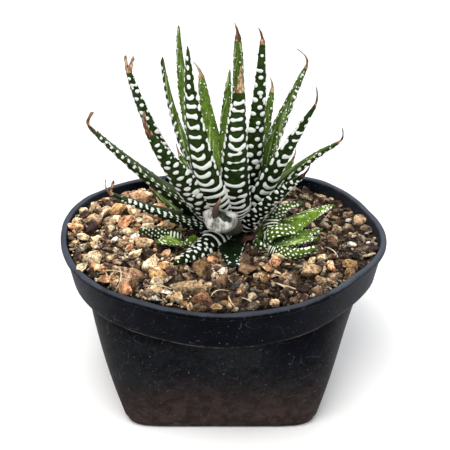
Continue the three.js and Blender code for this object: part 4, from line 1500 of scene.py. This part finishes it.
def straw_material():
    """Pale dry fibre with darker lengths."""
    surface = Surface("straw")
    position = surface.position()
    tone = position.noise(330, 3.0, 0.6)
    colour = tone.ramp(((0.3, (0.10, 0.055, 0.03)), (0.46, (0.42, 0.29, 0.16)),
                        (0.62, (0.74, 0.60, 0.42))))
    return surface.finish(Base_Color=colour, Roughness=0.55 + 0.3 * tone,
                          Normal=position.noise(2600, 2.0, 0.5).bump(0.0001))


def bed_top(x, y):
    """Height of the stones' bed: the soil's, banked up at the pot's front and left."""
    edge = SOIL_HALF * plan_factor(math.atan2(y, x), RIM_HEIGHT)
    near = smooth((math.hypot(x, y) / edge - 0.8) / 0.2)
    return soil_top(x, y) + 1.1 * near * smooth(0.5 - 0.03 * (x * 0.7 + y - 4))


def coarse_stones(draw, placed):
    """The stones that stand out, and the solid model's own where they are free."""
    stones = list(KNOWN_STONES)
    placed += [(x, y, 1.05 * size) for x, y, size, _ in KNOWN_STONES]
    for x, y, size in solid_stones():
        size = size * mixed(1.0, 0.5, toward_right(x, y))
        if clear_of(placed, x, y, size, 0.85):
            placed.append((x, y, size))
            stones.append((x, y, size, tint_at(draw, x, y)))
    return [((x, y, bed_top(x, y) + 0.4 * size), size, tint, 4 if size > 2.6 else 3, 12, STONE)
            for x, y, size, tint in stones]


def small_stones(draw, placed, wanted, sizes, spacing, subdivisions, thinned):
    """Stones of one range of sizes, where there is room, thinned out toward the right."""
    stones = []
    for _ in range(TRIES_PER_STONE * wanted):
        if len(stones) == wanted:
            break
        angle, share = draw.uniform(0, math.tau), math.sqrt(draw.random())
        size = draw.uniform(*sizes)
        x, y = spot(angle, share, SOIL_HALF + BED_OVERHANG, 0.8 * size)
        if thinned and draw.random() < 0.85 * toward_right(x, y):
            continue
        near_crown = math.hypot(x - CROWN[0], y - CROWN[1]) < BED_CROWN_ROOM
        if near_crown or not clear_of(placed, x, y, size, spacing):
            continue
        placed.append((x, y, size))
        height = bed_top(x, y) + draw.uniform(0.0, 0.5) * size
        shape = CHIP if draw.random() < 0.16 else STONE
        stones.append(((x, y, height), size, tint_at(draw, x, y), subdivisions, 7, shape))
    return stones


def grit_grains(draw, wanted):
    """Loose grains all over the bed, every ninth one a flake."""
    grains = []
    for number in range(wanted):
        angle, share = draw.uniform(0, math.tau), math.sqrt(draw.random())
        size = 0.25 + 0.6 * draw.random() ** 2
        x, y = spot(angle, share, SOIL_HALF + BED_OVERHANG, size)
        centre = (x, y, bed_top(x, y) + draw.uniform(-0.1, 0.8))
        size, shape = (1.6 * size, FLAKE) if number % 9 == 0 else (size, STONE)
        grains.append((centre, size, tint_at(draw, x, y), 1, 0, shape))
    return grains


def straw_form(azimuth, length, rise, bow, sway, width, start):
    """A root fibre lying on the bed."""
    low = bed_top(*start) + 1.2
    return Form(azimuth, length, low + rise, low, bow, sway, width, width, 0.3, 0, (0, 0, 0.2),
                foot=(*start, 0), root_radius=0, tip_thickness=0.3)


class HAWORTHIA_OT_stones(bpy.types.Operator):
    """Adds the coarse stones, the small stones, the grit and the root fibres"""

    bl_idname = "haworthia.stones"
    bl_label = "Add stones"

    def execute(self, context):
        look = context.scene.haworthia_bed
        material = stone_material()
        draw = random.Random(11)
        placed = []
        stone_piece("coarse_stones", material, coarse_stones(draw, placed))
        small = small_stones(draw, placed, look.small_stones // 2, sizes=(1.3, 2.5), spacing=0.85,
                             subdivisions=3, thinned=True)
        small += small_stones(draw, placed, look.small_stones, sizes=(0.7, 1.3), spacing=0.8,
                              subdivisions=2, thinned=False)
        stone_piece("small_stones", material, small)
        stone_piece("grit", material, grit_grains(draw, look.grit))
        straws = [leaf_mesh("straw", straw_form(*fibre), STRAW_CELL) for fibre in FIBRES]
        add_piece("root_fibres", joined("root_fibres", straws), straw_material())
        return {"FINISHED"}


class StageSettings(bpy.types.PropertyGroup):
    """The floor, the light and the camera."""

    elevation: FloatProperty(name="Elevation", description="Camera's angle above the floor",
                             default=math.radians(28), subtype="ANGLE")
    distance: FloatProperty(name="Distance", description="From the camera to its target",
                            default=0.3, unit="LENGTH")
    lens: FloatProperty(name="Focal length", description="In millimetres", default=69.8)
    floor: FloatVectorProperty(name="Floor", description="Plain pale floor",
                               default=(0.86, 0.86, 0.86), subtype="COLOR")


# What the camera and the lights face, in metres
CAMERA_TARGET = (0.0014, 0.0, 0.061)


def add_light(name, place, size, watts, colour=(1, 1, 1)):
    """A square soft light that faces the plant."""
    light = bpy.data.lights.new(name, "AREA")
    light.size, light.energy, light.color = size, watts, colour
    thing = linked(name, light)
    thing.location = place
    thing.rotation_euler = (Vector(CAMERA_TARGET) - Vector(place)).to_track_quat("-Z", "Y").to_euler()


def add_world():
    """Dim plain light from all round."""
    world = bpy.data.worlds.new("studio")
    world.use_nodes = True
    background = world.node_tree.nodes["Background"]
    background.inputs["Color"].default_value = (0.95, 0.97, 1, 1)
    background.inputs["Strength"].default_value = 0.45
    bpy.context.scene.world = world


def add_camera(look):
    """The camera, at its angle above the floor and its distance from the target."""
    camera = bpy.data.cameras.new("camera")
    camera.lens = look.lens
    camera.clip_start, camera.clip_end = 0.01, 20
    viewer = linked("camera", camera)
    back = Vector((0, -math.cos(look.elevation), math.sin(look.elevation)))
    viewer.location = Vector(CAMERA_TARGET) + back * look.distance
    viewer.rotation_euler = (-back).to_track_quat("-Z", "Y").to_euler()
    bpy.context.scene.camera = viewer


class HAWORTHIA_OT_stage(bpy.types.Operator):
    """Adds the floor, the soft lights and the camera"""

    bl_idname = "haworthia.stage"
    bl_label = "Add stage"

    def execute(self, context):
        look = context.scene.haworthia_stage
        bm = bmesh.new()
        bmesh.ops.create_grid(bm, x_segments=1, y_segments=1, size=4)
        mesh = written(bm, "floor")
        surface = Surface("floor")
        soft = surface.position().noise(3, 2.0, 0.5)
        base = surface.shaded(look.floor[:], 0.99 + 0.02 * soft)
        mesh.materials.append(surface.finish(Base_Color=base, Roughness=0.9))
        linked("floor", mesh)
        add_light("key", (-0.16, -0.4, 0.95), 0.6, 12, (1, 0.98, 0.95))
        add_light("fill", (0.7, -0.5, 0.55), 0.9, 3, (0.95, 0.97, 1))
        add_light("back", (0.15, 0.75, 0.7), 0.6, 4)
        add_world()
        add_camera(look)
        context.scene.view_settings.view_transform = "Standard"
        return {"FINISHED"}


class HAWORTHIA_PT_panel(bpy.types.Panel):
    """Lists the plant's pieces"""

    bl_idname = "HAWORTHIA_PT_panel"
    bl_label = "Potted haworthia"
    bl_space_type = "VIEW_3D"
    bl_region_type = "UI"
    bl_category = "Haworthia"

    def draw(self, context):
        for name, label, settings, operators in GROUPS:
            box = self.layout.box()
            box.label(text=label)
            group = getattr(context.scene, name)
            for key in settings.__annotations__:
                box.prop(group, key)
            for operator in operators:
                box.operator(operator.bl_idname)


# In the order of building: a group's name on the scene, its label, settings and operators
GROUPS = (
    ("haworthia_pot", "Pot", PotSettings, (HAWORTHIA_OT_pot,)),
    ("haworthia_bed", "Soil and stones", BedSettings, (HAWORTHIA_OT_soil, HAWORTHIA_OT_stones)),
    ("haworthia_stem", "Stem", StemSettings, (HAWORTHIA_OT_stem,)),
    ("haworthia_leaves", "Leaves", LeafSettings, (HAWORTHIA_OT_leaves,)),
    ("haworthia_faded", "Faded leaf", FadedSettings, (HAWORTHIA_OT_faded_leaf,)),
    ("haworthia_offsets", "Offsets", OffsetSettings, (HAWORTHIA_OT_offsets,)),
    ("haworthia_stage", "Stage", StageSettings, (HAWORTHIA_OT_stage,)),
)


def register():
    for name, _, settings, operators in GROUPS:
        for cls in (settings, *operators):
            bpy.utils.register_class(cls)
        setattr(bpy.types.Scene, name, PointerProperty(type=settings))
    bpy.utils.register_class(HAWORTHIA_PT_panel)


def unregister():
    bpy.utils.unregister_class(HAWORTHIA_PT_panel)
    for name, _, settings, operators in GROUPS:
        delattr(bpy.types.Scene, name)
        for cls in (settings, *operators):
            bpy.utils.unregister_class(cls)


def main():
    register()
    for *_, operators in GROUPS:
        for operator in operators:
            group, action = operator.bl_idname.split(".")
            getattr(getattr(bpy.ops, group), action)()


if __name__ == "__main__":
    main()
